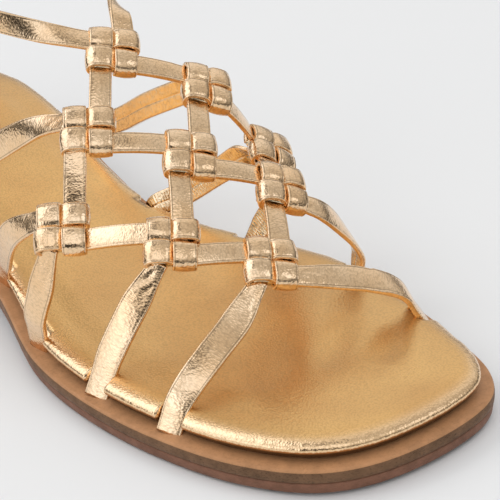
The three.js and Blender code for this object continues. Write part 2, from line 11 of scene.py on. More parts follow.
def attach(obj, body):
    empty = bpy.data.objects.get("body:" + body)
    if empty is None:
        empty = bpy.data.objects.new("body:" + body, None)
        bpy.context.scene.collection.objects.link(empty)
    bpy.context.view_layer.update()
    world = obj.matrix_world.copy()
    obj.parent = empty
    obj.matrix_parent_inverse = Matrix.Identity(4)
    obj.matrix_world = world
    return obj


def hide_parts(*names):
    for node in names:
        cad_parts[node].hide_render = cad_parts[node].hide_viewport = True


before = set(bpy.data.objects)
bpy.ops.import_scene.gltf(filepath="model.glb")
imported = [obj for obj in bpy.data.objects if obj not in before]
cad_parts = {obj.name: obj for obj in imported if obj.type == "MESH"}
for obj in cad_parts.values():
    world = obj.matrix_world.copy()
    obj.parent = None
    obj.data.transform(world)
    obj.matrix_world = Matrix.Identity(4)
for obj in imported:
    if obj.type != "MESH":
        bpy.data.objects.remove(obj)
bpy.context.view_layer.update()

bl_info = {
    "name": "Gladiator Sandal",
    "version": (1, 0, 0),
    "blender": (4, 5, 0),
    "location": "3D Viewport > Sidebar > Sandal",
    "description": "Builds the straps, knots, insole, sole and buckle of a gladiator sandal",
    "category": "Add Mesh",
}

MM = 0.001
HEEL_FOOTPRINT_CENTRE = 32.0

# Sole, in millimetres from the back of the heel seat
HEEL_RISE = 16.0
RISE_FROM = 36.0
RISE_TO = 157.0
TOE_SPRING = 0.8
SPRING_FROM = 190.0
SPRING_LENGTH = 62.0
LEDGE_TOP = 7.1
INSOLE_TOP = 12.7
HEEL_BREAST = 62.0
TREAD_FROM = 152.0
TREAD_TO = 240.0
TREAD_STEP = 3.4
TREAD_MARGIN = 5.0
INSOLE_ROWS = (
    (7, -16.7, 17.0), (28, -27.0, 26.6), (57, -27.1, 26.6), (92, -21.2, 26.7), (123, -20.7, 31.5),
    (155, -32.4, 40.6), (178, -39.1, 42.0), (203, -38.8, 39.0), (226, -34.6, 31.9),
    (241, -29.9, 21.9), (248, -23.6, 9.6),
)
INSOLE_FOLDS = (
    (-17.0, 207.0, 0.0, 220.0, 4.6, 0.72), (-27.0, 217.0, -11.0, 228.0, 4.2, 0.75),
    (-2.0, 196.0, 16.0, 216.0, 8.0, 0.85), (-31.0, 196.0, -20.0, 203.0, 4.5, 0.3),
)
HEEL_BACK = (0.0, 0.2)
TOE_TIP = (-10.7, 250.6)

# Last that the straps lie on
LAST_YS = (60, 90, 115, 137, 167, 197, 215, 250)
LAST_HEIGHTS = (88, 82, 72, 60, 41, 21, 15, 8)
LAST_RIDGE = -6.0
LAST_SPREAD = 4.0
LAST_SQUARENESS = 2.4
ANKLE_Y = 64.0

# Net of knots, and the straps between and beside them
KNOTS = np.array([
    [(-3.4, 137.0, 73.7), (-21.5, 152.5, 61.6), (-35.5, 159.8, 40.3)],
    [(15.1, 149.2, 61.3), (-3.2, 167.6, 53.7), (-21.5, 181.0, 41.8)],
    [(31.7, 157.3, 42.5), (15.2, 181.6, 40.8), (-3.0, 197.7, 33.8)],
])
KNOT_DEPTH = 2.0
KNOT_HOLD = 22.0
SPAN_BEND_RADIUS = 60.0
PORT_OUT = 0.3
KNOT_TURN = 15.0
PORTS = {"rowStart": (-4.8, -3.2), "rowEnd": (4.8, 3.2), "columnStart": (3.2, -4.8), "columnEnd": (-3.2, 4.8)}
LEG_LEAN = 3.6
LEG_TURN = 0.35
FOOT_HOLD = 12.0
LEGS = (
    (2, 0, "rowStart", "outer", 119.5, ((35.5, 137, 34.2), (33.5, 126, 21))),
    (2, 0, "columnEnd", "outer", 150.5, ((39.2, 155.3, 26.8), (41, 153, 18))),
    (2, 1, "columnEnd", "outer", 180.0, ((28.2, 181.6, 28.4), (32.3, 181.1, 23.2), (36.5, 180.4, 17))),
    (2, 2, "columnEnd", "outer", 205.7, ((13.1, 202, 24.8), (22.9, 204.5, 21.4), (31, 205.7, 17.2))),
    (2, 2, "rowEnd", "inner", 217.5, ((-15.4, 206, 27.1), (-23.1, 210, 24.5), (-31, 213.5, 19.4))),
    (1, 2, "rowEnd", "inner", 186.5, ((-28.2, 187, 34), (-35.2, 187.5, 25.4), (-39.9, 187.5, 16.4))),
    (0, 2, "rowEnd", "inner", 151.2, ((-37.3, 159, 24.3), (-35.7, 155, 17.6), (-34, 153, 13.7))),
    (0, 2, "columnStart", "inner", 119.0,
     ((-34.2, 147.5, 34.3), (-32.6, 141, 29.1), (-30.9, 135, 24.5), (-28.9, 130.5, 20.8), (-26.6, 126, 17.2))),
    (0, 1, "columnStart", "inner", 76.5, ((-27, 114, 42), (-28, 93.5, 30))),
    (1, 0, "rowStart", "outer", 78.0, ((20.5, 129.1, 56.5), (28.5, 101, 38))),
)
LONG_LEG = 4
HEEL_STRAPS = (
    ("inner", 24.0, (-27, 21.5, 60), (-16.6, 22, 96.3)),
    ("outer", 24.0, (27, 21.5, 60), (16.6, 22, 96.7)),
)
ANKLE_ROUTE = (
    (-12, 128.9, 78.4), (-16.8, 118.4, 79), (-25, 100, 82.5), (-31, 79, 87), (-31.5, 57, 91),
    (-26.5, 36, 94.5), (-15, 20.5, 96.8), (0, 14.5, 97.5), (15, 20.5, 97), (27, 37, 95.4),
    (32.5, 58, 92.8), (32, 79, 89.6), (25.5, 98, 85.4), (15.8, 113, 81.4), (7.5, 121.8, 77.8),
)

# Loop of a knot, as (reach, out) along its middle, and the four ways it turns
LOOP_PATH = (
    (3.0, -1.7), (4.7, -1.5), (5.95, -0.8), (6.5, 0.4), (6.3, 1.7), (5.3, 2.6), (3.2, 2.95),
    (1.5, 2.78), (0.4, 2.0), (-0.8, 1.15), (-2.2, 0.6),
)
QUARTERS = (((0, -1), (-1, 0)), ((1, 0), (0, -1)), ((0, 1), (1, 0)), ((-1, 0), (0, 1)))

# Buckle, free strap end and keeper, by their distance behind the buckle's middle
BUCKLE_AT = (32.6, 68.0)
BUCKLE_LENGTH = 13.0
BUCKLE_WIDTH = 12.4
BUCKLE_BAR = 1.7
FREE_LENGTH = 27.0
FREE_WIDTH = 5.6
FREE_THICKNESS = 1.4
KEEPER_FROM = 15.0
KEEPER_LENGTH = 4.0

# Camera of the photograph, in metres, and its turn in degrees
CAMERA_PLACE = (0.2249, 0.4670, 0.2515)
CAMERA_AZIMUTH = 143.67
CAMERA_ELEVATION = 29.53
CAMERA_ROLL = -5.52
CAMERA_LENS = 126.4

# What glossy rays see: directions of bright boxes, cosines of their inside and outside, and strength
REFLECTED_BOXES = (
    ((0.42, -0.55, 0.72), 0.95, 0.81, 1.15),
    ((-0.55, -0.65, 0.52), 0.92, 0.6, 0.26),
    ((0.96, -0.08, 0.24), 0.95, 0.84, 1.15),
    ((0.35, 0.42, 0.72), 0.97, 0.88, 0.55),
    ((0.1, -0.1, 0.99), 0.99, 0.975, -0.4),
    ((-0.45, 0.62, 0.64), 0.985, 0.955, 0.8),
    ((-0.58, 0.32, 0.72), 0.95, 0.84, -0.12),
    ((0.8, -0.37, 0.41), 0.97, 0.91, -0.5),
    ((0.64, 0.61, 0.46), 0.985, 0.95, -0.6),
    ((-0.12, -0.72, 0.68), 0.985, 0.95, -0.45),
)
WARM_LIGHT = (1.0, 0.985, 0.95, 1.0)
COOL_LIGHT = (0.94, 1.0, 1.12, 1.0)
DIFFUSE_SKY = (0.685, 0.69, 0.695)


def smooth(value, start, end):
    t = np.clip((np.asarray(value, float) - start) / (end - start), 0.0, 1.0)
    return t * t * (3.0 - 2.0 * t)


def unit(vectors):
    vectors = np.asarray(vectors, float)
    return vectors / np.maximum(np.linalg.norm(vectors, axis=-1, keepdims=True), 1e-12)


def rise(y):
    """Height of the sole's underside over the floor."""
    spring = np.maximum(0.0, np.asarray(y, float) - SPRING_FROM) / SPRING_LENGTH
    return HEEL_RISE * (1.0 - smooth(y, RISE_FROM, RISE_TO)) + TOE_SPRING * spring * spring


def spline(knots, closed=False, per_span=80):
    """Dense points on the centripetal Catmull-Rom curve through the knots."""
    knots = np.asarray(knots, float)
    count = len(knots)
    spans = count if closed else count - 1
    shares = np.linspace(0.0, 1.0, per_span, endpoint=False)[:, None]
    points = []
    for span in range(spans):
        p1 = knots[span]
        p2 = knots[(span + 1) % count]
        p0 = knots[(span - 1) % count] if closed or span > 0 else 2.0 * knots[0] - knots[1]
        p3 = knots[(span + 2) % count] if closed or span + 2 < count else 2.0 * knots[-1] - knots[-2]
        d0, d1, d2 = (np.sqrt(np.linalg.norm(b - a)) for a, b in ((p0, p1), (p1, p2), (p2, p3)))
        t1 = ((p1 - p0) / d0 - (p2 - p0) / (d0 + d1) + (p2 - p1) / d1) * d1
        t2 = ((p2 - p1) / d1 - (p3 - p1) / (d1 + d2) + (p3 - p2) / d2) * d1
        cubic = 2.0 * p1 - 2.0 * p2 + t1 + t2
        square = -3.0 * p1 + 3.0 * p2 - 2.0 * t1 - t2
        points.append(p1 + shares * (t1 + shares * (square + shares * cubic)))
    if not closed:
        points.append(knots[-1][None, :])
    return np.concatenate(points)


def travelled(points):
    steps = np.linalg.norm(np.diff(points, axis=0), axis=1)
    return np.concatenate([[0.0], np.cumsum(steps)])


def resampled(points, distances):
    places = travelled(points)
    return np.stack([np.interp(distances, places, points[:, axis]) for axis in range(points.shape[1])], axis=1)


def insole_outline(count):
    """Closed outline of the insole from the heel's back along the inner side, with its outward directions."""
    inner = [(low, y) for y, low, _ in INSOLE_ROWS]
    outer = [(high, y) for y, _, high in reversed(INSOLE_ROWS)]
    curve = spline([HEEL_BACK, *inner, TOE_TIP, *outer], closed=True)
    loop = np.concatenate([curve, curve[:1]])
    length = travelled(loop)[-1]
    distances = np.linspace(0.0, length, count, endpoint=False)
    points = resampled(loop, distances)
    along = unit(np.roll(points, -1, axis=0) - np.roll(points, 1, axis=0))
    outward = np.stack([-along[:, 1], along[:, 0]], axis=1)
    return points, outward, distances, length


def outline_sides(points):
    """The outline's inner and outer side, each from heel to toe."""
    lowest, highest = int(np.argmin(points[:, 1])), int(np.argmax(points[:, 1]))
    count = len(points)
    inner = [(lowest + k) % count for k in range((highest - lowest) % count + 1)]
    outer = [(highest + k) % count for k in range((lowest - highest) % count + 1)]
    return points[inner], points[outer][::-1]


OUTLINE, OUTWARD, _, _ = insole_outline(960)
INNER_SIDE, OUTER_SIDE = outline_sides(OUTLINE)


def edge_x(edge, y):
    side = INNER_SIDE if edge == "inner" else OUTER_SIDE
    return np.interp(y, side[:, 1], side[:, 0])


def last_field(points):
    """Zero on the last's skin and more outside it."""
    x, y, z = points[..., 0], points[..., 1], points[..., 2]
    half = np.where(
        x > LAST_RIDGE,
        edge_x("outer", y) - LAST_RIDGE + LAST_SPREAD,
        LAST_RIDGE - edge_x("inner", y) + LAST_SPREAD,
    )
    across = np.abs(x - LAST_RIDGE) / half
    up = np.maximum(0.0, z - rise(y) - INSOLE_TOP) / np.interp(y, LAST_YS, LAST_HEIGHTS)
    return across ** LAST_SQUARENESS + up ** LAST_SQUARENESS


def skin_normals(points):
    """Direction that a strap's face looks in: off the last, and off the ankle behind the instep."""
    reach = 3.0
    slopes = []
    for axis in range(3):
        move = np.zeros(3)
        move[axis] = reach
        slopes.append(last_field(points + move) - last_field(points - move))
    slope = unit(np.stack(slopes, axis=-1))
    x, y, z = points[:, 0], points[:, 1], points[:, 2]
    off_ankle = unit(np.stack([x, y - ANKLE_Y, np.zeros_like(x)], axis=-1))
    side = np.stack([np.sign(x), np.zeros_like(x), np.zeros_like(x)], axis=-1)
    rear = 1.0 - smooth(y, 40, 70)
    lifted = smooth(z, 60.0 - 30.0 * rear, 74.0 + 14.0 * rear)
    behind = ((1.0 - smooth(y, 40, 90)) * (1.0 - lifted))[:, None]
    share = ((1.0 - smooth(y, 108, 142)) * lifted)[:, None]
    slope = slope + (side - slope) * behind
    return unit(slope + (off_ankle - slope) * share)


def turned_pair(along, down, angle):
    """Two square directions, turned in their plane."""
    return along * math.cos(angle) - down * math.sin(angle), down * math.cos(angle) + along * math.sin(angle)


def knot_frame(row, column):
    """Base, along-row, down-column and outward directions of a knot."""
    def centre(r, c):
        return KNOTS[min(max(r, 0), 2), min(max(c, 0), 2)]

    total = np.zeros(3)
    for r in (row - 1, row):
        for c in (column - 1, column):
            if 0 <= r <= 1 and 0 <= c <= 1:
                across = centre(r, c + 1) - centre(r, c) + centre(r + 1, c + 1) - centre(r + 1, c)
                down = centre(r + 1, c) - centre(r, c) + centre(r + 1, c + 1) - centre(r, c + 1)
                total += unit(np.cross(down, across))
    out = unit(total)
    row_way = centre(row, column + 1) - centre(row, column - 1)
    row_way = unit(row_way - out * row_way.dot(out))
    column_way = centre(row + 1, column) - centre(row - 1, column)
    column_way = unit(column_way - out * column_way.dot(out))
    even, odd = unit(row_way + column_way), unit(row_way - column_way)
    along, down = turned_pair(unit(even + odd), unit(even - odd), math.radians(KNOT_TURN))
    return KNOTS[row, column] - KNOT_DEPTH * out, along, down, out


FRAMES = [[knot_frame(row, column) for column in range(3)] for row in range(3)]


def in_knot(knot, along, down, out):
    base, along_way, down_way, out_way = knot
    return base + along * along_way + down * down_way + out * out_way


def port(row, column, side):
    along, down = PORTS[side]
    return in_knot(FRAMES[row][column], along, down, PORT_OUT)


def leg_end(edge, y, last):
    """Leans over the insole's edge towards the last way point, and goes down to the ledge."""
    foot = np.array([float(edge_x(edge, y)), y, float(rise(y)) + LEDGE_TOP])
    brow = INSOLE_TOP + 0.8 - LEDGE_TOP
    lean = np.asarray(last, float) - foot
    low = lean[2] < brow
    lean = lean * (brow / lean[2])
    lean[2] = 0.0
    lean *= min(1.0, LEG_LEAN / np.linalg.norm(lean))
    points = [foot + lean * share + np.array([0.0, 0.0, brow * share]) for share in (1.0, 0.4, -0.05)]
    return points[1:] if low else points


def ankle_knots():
    return [port(0, 0, "columnStart"), *ANKLE_ROUTE, port(0, 0, "rowStart")]


def routed(route, step, start_normal=None, end_normal=None, turn=0.0):
    """Evenly spaced points of a route and the way the strap faces at each."""
    curve = spline(route)
    length = travelled(curve)[-1]
    distances = np.linspace(0.0, length, max(8, int(round(length / step))))
    points = resampled(curve, distances)
    normals = unit(skin_normals(points) + np.array([0.0, turn, 0.0]))
    if turn:
        held = int(np.searchsorted(distances, length - FOOT_HOLD))
        normals[held:] = normals[held]
    if start_normal is not None:
        share = (1.0 - smooth(distances, 0.0, KNOT_HOLD))[:, None]
        normals = normals + (start_normal - normals) * share
    if end_normal is not None:
        share = (1.0 - smooth(length - distances, 0.0, KNOT_HOLD))[:, None]
        normals = normals + (end_normal - normals) * share
    return points, unit(normals)


def net_span(start_knot, start_side, end_knot, end_side, step):
    start, end = port(*start_knot, start_side), port(*end_knot, end_side)
    from_out, to_out = FRAMES[start_knot[0]][start_knot[1]][3], FRAMES[end_knot[0]][end_knot[1]][3]
    length = np.linalg.norm(end - start)
    share = np.linspace(0.0, 1.0, max(8, int(round(length / step))))[:, None]
    normals = unit(from_out + (to_out - from_out) * share)
    bow = 4.0 * share * (1.0 - share) * length * length / (8.0 * SPAN_BEND_RADIUS)
    return start + (end - start) * share + normals * bow, normals


def bumps(points, size, seed, stretch=(1.0, 1.0, 1.0)):
    """Smooth noise between about -1 and 1 at points, with features of a size in millimetres."""
    shift = Vector((seed * 17.31, seed * 5.77, seed * 11.13))
    scaled = np.asarray(points, float) / size * np.asarray(stretch)
    values = np.array([noise.noise(Vector(point) + shift) for point in scaled.reshape(-1, 3)])
    return values.reshape(scaled.shape[:-1])


class Shell:
    """Points and faces of one piece in the shoe's own millimetres, with a strap's own coordinates."""

    def __init__(self):
        self.points, self.faces, self.uvs, self.inner, self.border, self.slots = [], [], [], [], [], []
        self.count = 0

    def add(self, points, quads, corners, caps=(), inner=0.0, border=0.0, slot=0):
        """Adds a closed form of quads, with their corners' own coordinates, and turns its faces outwards."""
        points = np.asarray(points, float).reshape(-1, 3)
        a, b, c, d = (points[quads[:, k]] for k in range(4))
        volume = np.einsum("ij,ij->", a, np.cross(b, c)) + np.einsum("ij,ij->", a, np.cross(c, d))
        caps = [list(cap) for cap in caps]
        if volume < 0.0:
            quads, corners = quads[:, ::-1], corners[:, ::-1]
            caps = [cap[::-1] for cap in caps]
        self.points.append(points)
        self.faces.extend((quads + self.count).tolist())
        self.uvs.append(corners.reshape(-1, 2))
        for cap in caps:
            self.faces.append([index + self.count for index in cap])
            self.uvs.append(np.zeros((len(cap), 2)))
        self.inner.append(np.broadcast_to(inner, (len(points),)))
        self.border.append(np.broadcast_to(border, (len(points),)))
        self.slots.extend([slot] * (len(quads) + len(caps)))
        self.count += len(points)

    def build(self, name, materials):
        """Mesh object at the origin, in metres, in the row frame."""
        points = np.concatenate(self.points) - np.array([0.0, HEEL_FOOTPRINT_CENTRE, 0.0])
        mesh = bpy.data.meshes.new(name)
        mesh.from_pydata((points * MM).tolist(), [], self.faces)
        layer = mesh.uv_layers.new(name="strap")
        layer.data.foreach_set("uv", (np.concatenate(self.uvs) * MM).ravel())
        for attribute, values in (("inner", self.inner), ("border", self.border)):
            data = mesh.attributes.new(attribute, "FLOAT", "POINT").data
            data.foreach_set("value", np.concatenate(values).astype(np.float32))
        mesh.polygons.foreach_set("use_smooth", [True] * len(mesh.polygons))
        mesh.polygons.foreach_set("material_index", self.slots)
        for material in materials:
            mesh.materials.append(material)
        mesh.update()
        made = bpy.data.objects.new(name, mesh)
        bpy.context.scene.collection.objects.link(made)
        return made


def strap_section(width, thickness, crown, groove):
    """Outline of a folded strap as (across, out) from its inner seam, with inner and border marks."""
    half, top = width / 2.0, thickness / 2.0
    low_round, high_round = min(0.5, thickness * 0.4), min(0.34, thickness * 0.3)
    bottom_flat, top_flat = half - low_round, half - high_round
    bottom = [(x, -top + (0.16 if x == 0.0 else 0.0)) for x in bottom_flat * np.array([0.0, 0.06, 0.25, 0.6, 0.9])]
    corner_low = [(bottom_flat + low_round * math.cos(a), low_round - top + low_round * math.sin(a))
                  for a in np.radians([-90, -55, -25, 0])]
    corner_high = [(top_flat + high_round * math.cos(a), top - high_round + high_round * math.sin(a))
                   for a in np.radians([0, 35, 65, 90])]
    seam = top_flat - 0.12
    face = [(seam, top - groove), (seam - 0.2, top + crown * 0.15)]
    for share in (0.72, 0.48, 0.24, 0.0):
        face.append((seam * share, top + crown * (1.0 - share * share)))
    half_outline = bottom + corner_low + corner_high + face
    mirrored = [(-x, y) for x, y in reversed(half_outline[1:-1])]
    section = np.array(half_outline + mirrored)
    inner = (section[:, 1] < 0.05 - top).astype(float)
    border = np.isclose(np.abs(section[:, 0]), seam, atol=0.02) & (section[:, 1] > 0)
    return section, inner, border.astype(float)


def tangents(points):
    steps = np.empty_like(points)
    steps[1:-1] = points[2:] - points[:-2]
    steps[0] = points[1] - points[0]
    steps[-1] = points[-1] - points[-2]
    return unit(steps)


def section_normals(section):
    turn = np.roll(section, -1, axis=0) - np.roll(section, 1, axis=0)
    return unit(np.stack([turn[:, 1], -turn[:, 0]], axis=1))


def sweep(shell, points, normals, section, inner, border, seed, relief=None, widths=None, slot=0):
    """Strap along points, its face turned to the normals, in one shell with closed ends."""
    along = tangents(points)
    across = unit(np.cross(along, normals))
    out = np.cross(across, along)
    distances = travelled(points)
    count, round_count = len(points), len(section)
    sections = np.repeat(section[None], count, axis=0)
    if widths is not None:
        sections = sections * np.stack([widths, np.ones(count)], axis=1)[:, None, :]
    if relief is not None:
        facing = section_normals(section)
        hold = np.abs(facing[:, 1]) ** 1.5
        sections = sections + facing[None] * (relief(distances, section) * hold)[..., None]
    ring = points[:, None] + across[:, None] * sections[..., :1] + out[:, None] * sections[..., 1:]
    around = travelled(np.concatenate([section, section[:1]]))
    quads = tube_quads(count, round_count)
    shift = seed * 37.7
    u, v = np.meshgrid(distances + shift, around, indexing="ij")
    grid = np.stack([u, v], axis=-1)
    corners = np.stack([grid[:-1, :-1], grid[:-1, 1:], grid[1:, 1:], grid[1:, :-1]], axis=2).reshape(-1, 4, 2)
    last = (count - 1) * round_count
    caps = (range(round_count - 1, -1, -1), range(last, last + round_count))
    shell.add(ring, quads, corners, caps, np.tile(inner, count), np.tile(border, count), slot)


def tube_quads(count, round_count):
    """Quads of a tube of count rings, each of round_count points."""
    start = np.arange(count - 1)[:, None] * round_count
    here = np.arange(round_count)[None, :]
    there = (here + 1) % round_count
    corners = (start + here, start + there, start + round_count + there, start + round_count + here)
    return np.stack(np.broadcast_arrays(*corners), axis=-1).reshape(-1, 4)


def crinkle(amount, seed, gather=()):
    """Relief of a strap: fine creases, and deeper ones round gathered places as (distance, reach, depth)."""
    def relief(distances, section):
        grid = np.zeros((len(distances), len(section), 3))
        grid[..., 0] = distances[:, None]
        grid[..., 1] = section[None, :, 0]
        grid[..., 2] = section[None, :, 1]
        fine = bumps(grid, 2.0, seed, (1.0, 0.5, 0.6))
        broad = bumps(grid, 12.0, seed + 3)
        total = amount * (fine + 0.8 * broad)
        for place, reach, depth in gather:
            hold = np.exp(-((distances - place) / reach) ** 2)[:, None]
            folds = np.abs(bumps(grid, 2.4, seed + 9, (0.45, 1.15, 0.5)))
            total = total - depth * hold * folds
        return total
    return relief


# Nodes of the materials
class Nodes:
    """Short ways to place and link a material's nodes."""

    def __init__(self, tree):
        self.tree = tree
        tree.nodes.clear()

    def add(self, kind, settings=None, **inputs):
        node = self.tree.nodes.new(kind)
        for key, value in (settings or {}).items():
            setattr(node, key, value)
        for key, value in inputs.items():
            self.feed(node.inputs[key.replace("_", " ")], value)
        return node

    def feed(self, socket, value):
        if isinstance(value, bpy.types.NodeSocket):
            self.tree.links.new(value, socket)
        else:
            socket.default_value = value

    def maths(self, operation, first, second=0.0, clamp=False):
        node = self.add("ShaderNodeMath", {"operation": operation, "use_clamp": clamp})
        self.feed(node.inputs[0], first)
        self.feed(node.inputs[1], second)
        return node.outputs[0]

    def ramp(self, factor, stops):
        node = self.add("ShaderNodeValToRGB", None, Fac=factor)
        while len(node.color_ramp.elements) < len(stops):
            node.color_ramp.elements.new(0.5)
        for element, (place, colour) in zip(node.color_ramp.elements, stops):
            element.position = place
            element.color = colour if len(colour) == 4 else (*colour, 1.0)
        return node.outputs["Color"]

    def blend(self, factor, first, second, kind="MIX"):
        node = self.add("ShaderNodeMix", {"data_type": "RGBA", "blend_type": kind})
        self.feed(node.inputs[0], factor)
        self.feed(node.inputs[6], first)
        self.feed(node.inputs[7], second)
        return node.outputs[2]

    def span(self, value, low, high, new_low, new_high):
        node = self.add("ShaderNodeMapRange", {"clamp": True})
        ends = (("From Min", low), ("From Max", high), ("To Min", new_low), ("To Max", new_high))
        for key, number in (("Value", value), *ends):
            self.feed(node.inputs[key], number)
        return node.outputs["Result"]

    def noise(self, vector, scale, detail=3.0, roughness=0.55, distortion=0.0):
        node = self.add("ShaderNodeTexNoise", None, Vector=vector, Scale=scale, Detail=detail,
                        Roughness=roughness, Distortion=distortion)
        return node.outputs["Fac"]

    def cells(self, vector, scale, smoothness=0.35):
        node = self.add("ShaderNodeTexVoronoi", {"feature": "SMOOTH_F1"}, Vector=vector, Scale=scale,
                        Smoothness=smoothness)
        return node.outputs["Distance"]

    def mapped(self, vector, scale=(1.0, 1.0, 1.0), turn=(0.0, 0.0, 0.0)):
        return self.add("ShaderNodeMapping", None, Vector=vector, Scale=scale, Rotation=turn).outputs["Vector"]

    def bump(self, height, strength, distance, normal=None):
        node = self.add("ShaderNodeBump", None, Height=height, Strength=strength, Distance=distance)
        if normal is not None:
            self.feed(node.inputs["Normal"], normal)
        return node.outputs["Normal"]

    def surface(self, colour, roughness, normal, metallic=0.0, coat=0.0, coat_roughness=0.2, specular=0.5, sheen=0.0):
        shader = self.add("ShaderNodeBsdfPrincipled")
        for key, value in (
            ("Base Color", colour), ("Roughness", roughness), ("Normal", normal), ("Metallic", metallic),
            ("Coat Weight", coat), ("Coat Roughness", coat_roughness), ("Specular IOR Level", specular),
            ("Sheen Weight", sheen),
        ):
            self.feed(shader.inputs[key], value)
        output = self.add("ShaderNodeOutputMaterial")
        self.tree.links.new(shader.outputs["BSDF"], output.inputs["Surface"])
        return shader


def rgba(colour):
    return (*tuple(colour)[:3], 1.0)


def started(name):
    """The material of that name, and its nodes if it has still to be made."""
    known = bpy.data.materials.get(name)
    if known is not None:
        return known, None
    material = bpy.data.materials.new(name)
    material.use_nodes = True
    return material, Nodes(material.node_tree)


def darker(colour, share):
    return (*(channel * share for channel in tuple(colour)[:3]), 1.0)


def strap_foil(colours):
    """Foiled leather with a fine crinkled grain that runs across the strap, and painted bounce light on its
    undersides.
    """
    material, nodes = started("strap_foil")
    if nodes is None:
        return material
    place = nodes.add("ShaderNodeTexCoord").outputs["UV"]
    pebble = nodes.cells(nodes.mapped(place, (1.0, 0.7, 1.0)), 2200.0, 0.5)
    creases = nodes.noise(nodes.mapped(place, (1.0, 0.45, 1.0)), 800.0, 3.0, 0.6, 0.7)
    patches = nodes.noise(place, 90.0, 2.0)
    inner = nodes.add("ShaderNodeAttribute", {"attribute_name": "inner"}).outputs["Fac"]
    border = nodes.add("ShaderNodeAttribute", {"attribute_name": "border"}).outputs["Fac"]
    warm = nodes.blend(nodes.span(patches, 0.35, 0.65, 0.0, 1.0),
                       rgba(colours.strap_gold), rgba(colours.strap_copper))
    # The undersides take their own warmer gold: painted bounce light from the gold around them.
    underside_bounced = nodes.blend(inner, warm, rgba(colours.underside_bounce_gold))
    shaded = nodes.blend(nodes.span(pebble, 0.45, 0.8, 0.0, 0.34), underside_bounced, darker(colours.strap_copper, 0.5))
    edged = nodes.blend(nodes.maths("MULTIPLY", border, 0.7), shaded, darker(colours.strap_copper, 0.2))
    roughness = nodes.span(nodes.noise(place, 260.0, 3.0), 0.3, 0.7, 0.12, 0.22)
    parted = nodes.add("ShaderNodeSeparateXYZ", None, Vector=place)
    ribs = nodes.maths("SINE", nodes.maths("MULTIPLY", parted.outputs["X"], 7500.0))
    ribbed = nodes.bump(nodes.maths("MULTIPLY", ribs, inner), 0.25, 0.00008)
    grain = nodes.bump(pebble, 0.55, 0.0001, ribbed)
    folded = nodes.bump(creases, 0.55, 0.00013, grain)
    nodes.surface(edged, roughness, folded, 1.0, 0.3, 0.2)
    return material


def insole_foil(colours):
    """Soft foiled leather over padding, with a small pebble grain, a painted highlight on the rim and painted shade on
    the low wall under it.
    """
    material, nodes = started("insole_foil")
    if nodes is None:
        return material
    place = nodes.add("ShaderNodeTexCoord").outputs["Object"]
    rim = nodes.add("ShaderNodeAttribute", {"attribute_name": "border"}).outputs["Fac"]
    pebble = nodes.cells(place, 1900.0, 0.45)
    fine = nodes.noise(place, 1900.0, 3.0)
    drift = nodes.noise(place, 45.0, 3.0, 0.5, 0.4)
    base = nodes.blend(nodes.span(drift, 0.35, 0.68, 0.0, 1.0),
                       rgba(colours.insole_gold), rgba(colours.insole_copper))
    # The rim blends towards the straps' paler gold: a painted highlight along the rolled rim.
    painted_rim_highlight = nodes.blend(nodes.maths("MULTIPLY", rim, 0.75), base, rgba(colours.strap_gold))
    shaded = nodes.blend(nodes.span(pebble, 0.35, 0.75, 0.0, 0.24), painted_rim_highlight, darker(colours.insole_copper, 0.5))
    # The low wall under the rolled rim is darkened almost to black: painted shade of the gap between the roll and the
    # ledge.
    under = nodes.add("ShaderNodeAttribute", {"attribute_name": "inner"}).outputs["Fac"]
    shaded = nodes.blend(nodes.maths("MULTIPLY", under, 0.85), shaded, darker(colours.insole_copper, 0.1))
    dull = nodes.span(drift, 0.3, 0.7, 0.27, 0.33)
    roughness = nodes.maths("SUBTRACT", dull, nodes.maths("MULTIPLY", rim, 0.12))
    crinkles = nodes.noise(place, 420.0, 4.0, 0.6, 0.7)
    soft = nodes.bump(nodes.maths("MULTIPLY", crinkles, nodes.maths("ADD", rim, 0.1)), 0.35, 0.0002)
    grain = nodes.bump(pebble, 0.5, 0.00011, soft)
    finer = nodes.bump(fine, 0.22, 0.00006, grain)
    nodes.surface(shaded, roughness, finer, 1.0, 0.15, 0.25)
    return material


def sole_leather(name, base, dark, speckle, roughness):
    """Brown sole leather: a mottled, faintly fibrous finish."""
    material, nodes = started(name)
    if nodes is None:
        return material
    place = nodes.add("ShaderNodeTexCoord").outputs["Object"]
    mottled = nodes.noise(place, 260.0, 5.0, 0.65)
    specks = nodes.noise(nodes.mapped(place, (1.0, 1.0, 2.6)), 1500.0, 3.0, 0.6)
    broad = nodes.noise(place, 38.0, 3.0)
    tone = nodes.blend(nodes.span(mottled, 0.35, 0.7, 0.0, 0.8), rgba(base), rgba(dark))
    speckled = nodes.blend(nodes.span(specks, 0.52, 0.68, 0.0, speckle), tone, darker(dark, 0.45))
    paler = rgba([min(1.0, channel * 1.35) for channel in tuple(base)[:3]])
    worn = nodes.blend(nodes.span(broad, 0.4, 0.75, 0.0, 0.25), speckled, paler)
    grain = nodes.bump(specks, 0.35, 0.0001)
    nodes.surface(worn, nodes.span(mottled, 0.3, 0.7, roughness - 0.08, roughness + 0.1),
                  nodes.bump(mottled, 0.25, 0.00015, grain), specular=0.25)
    return material


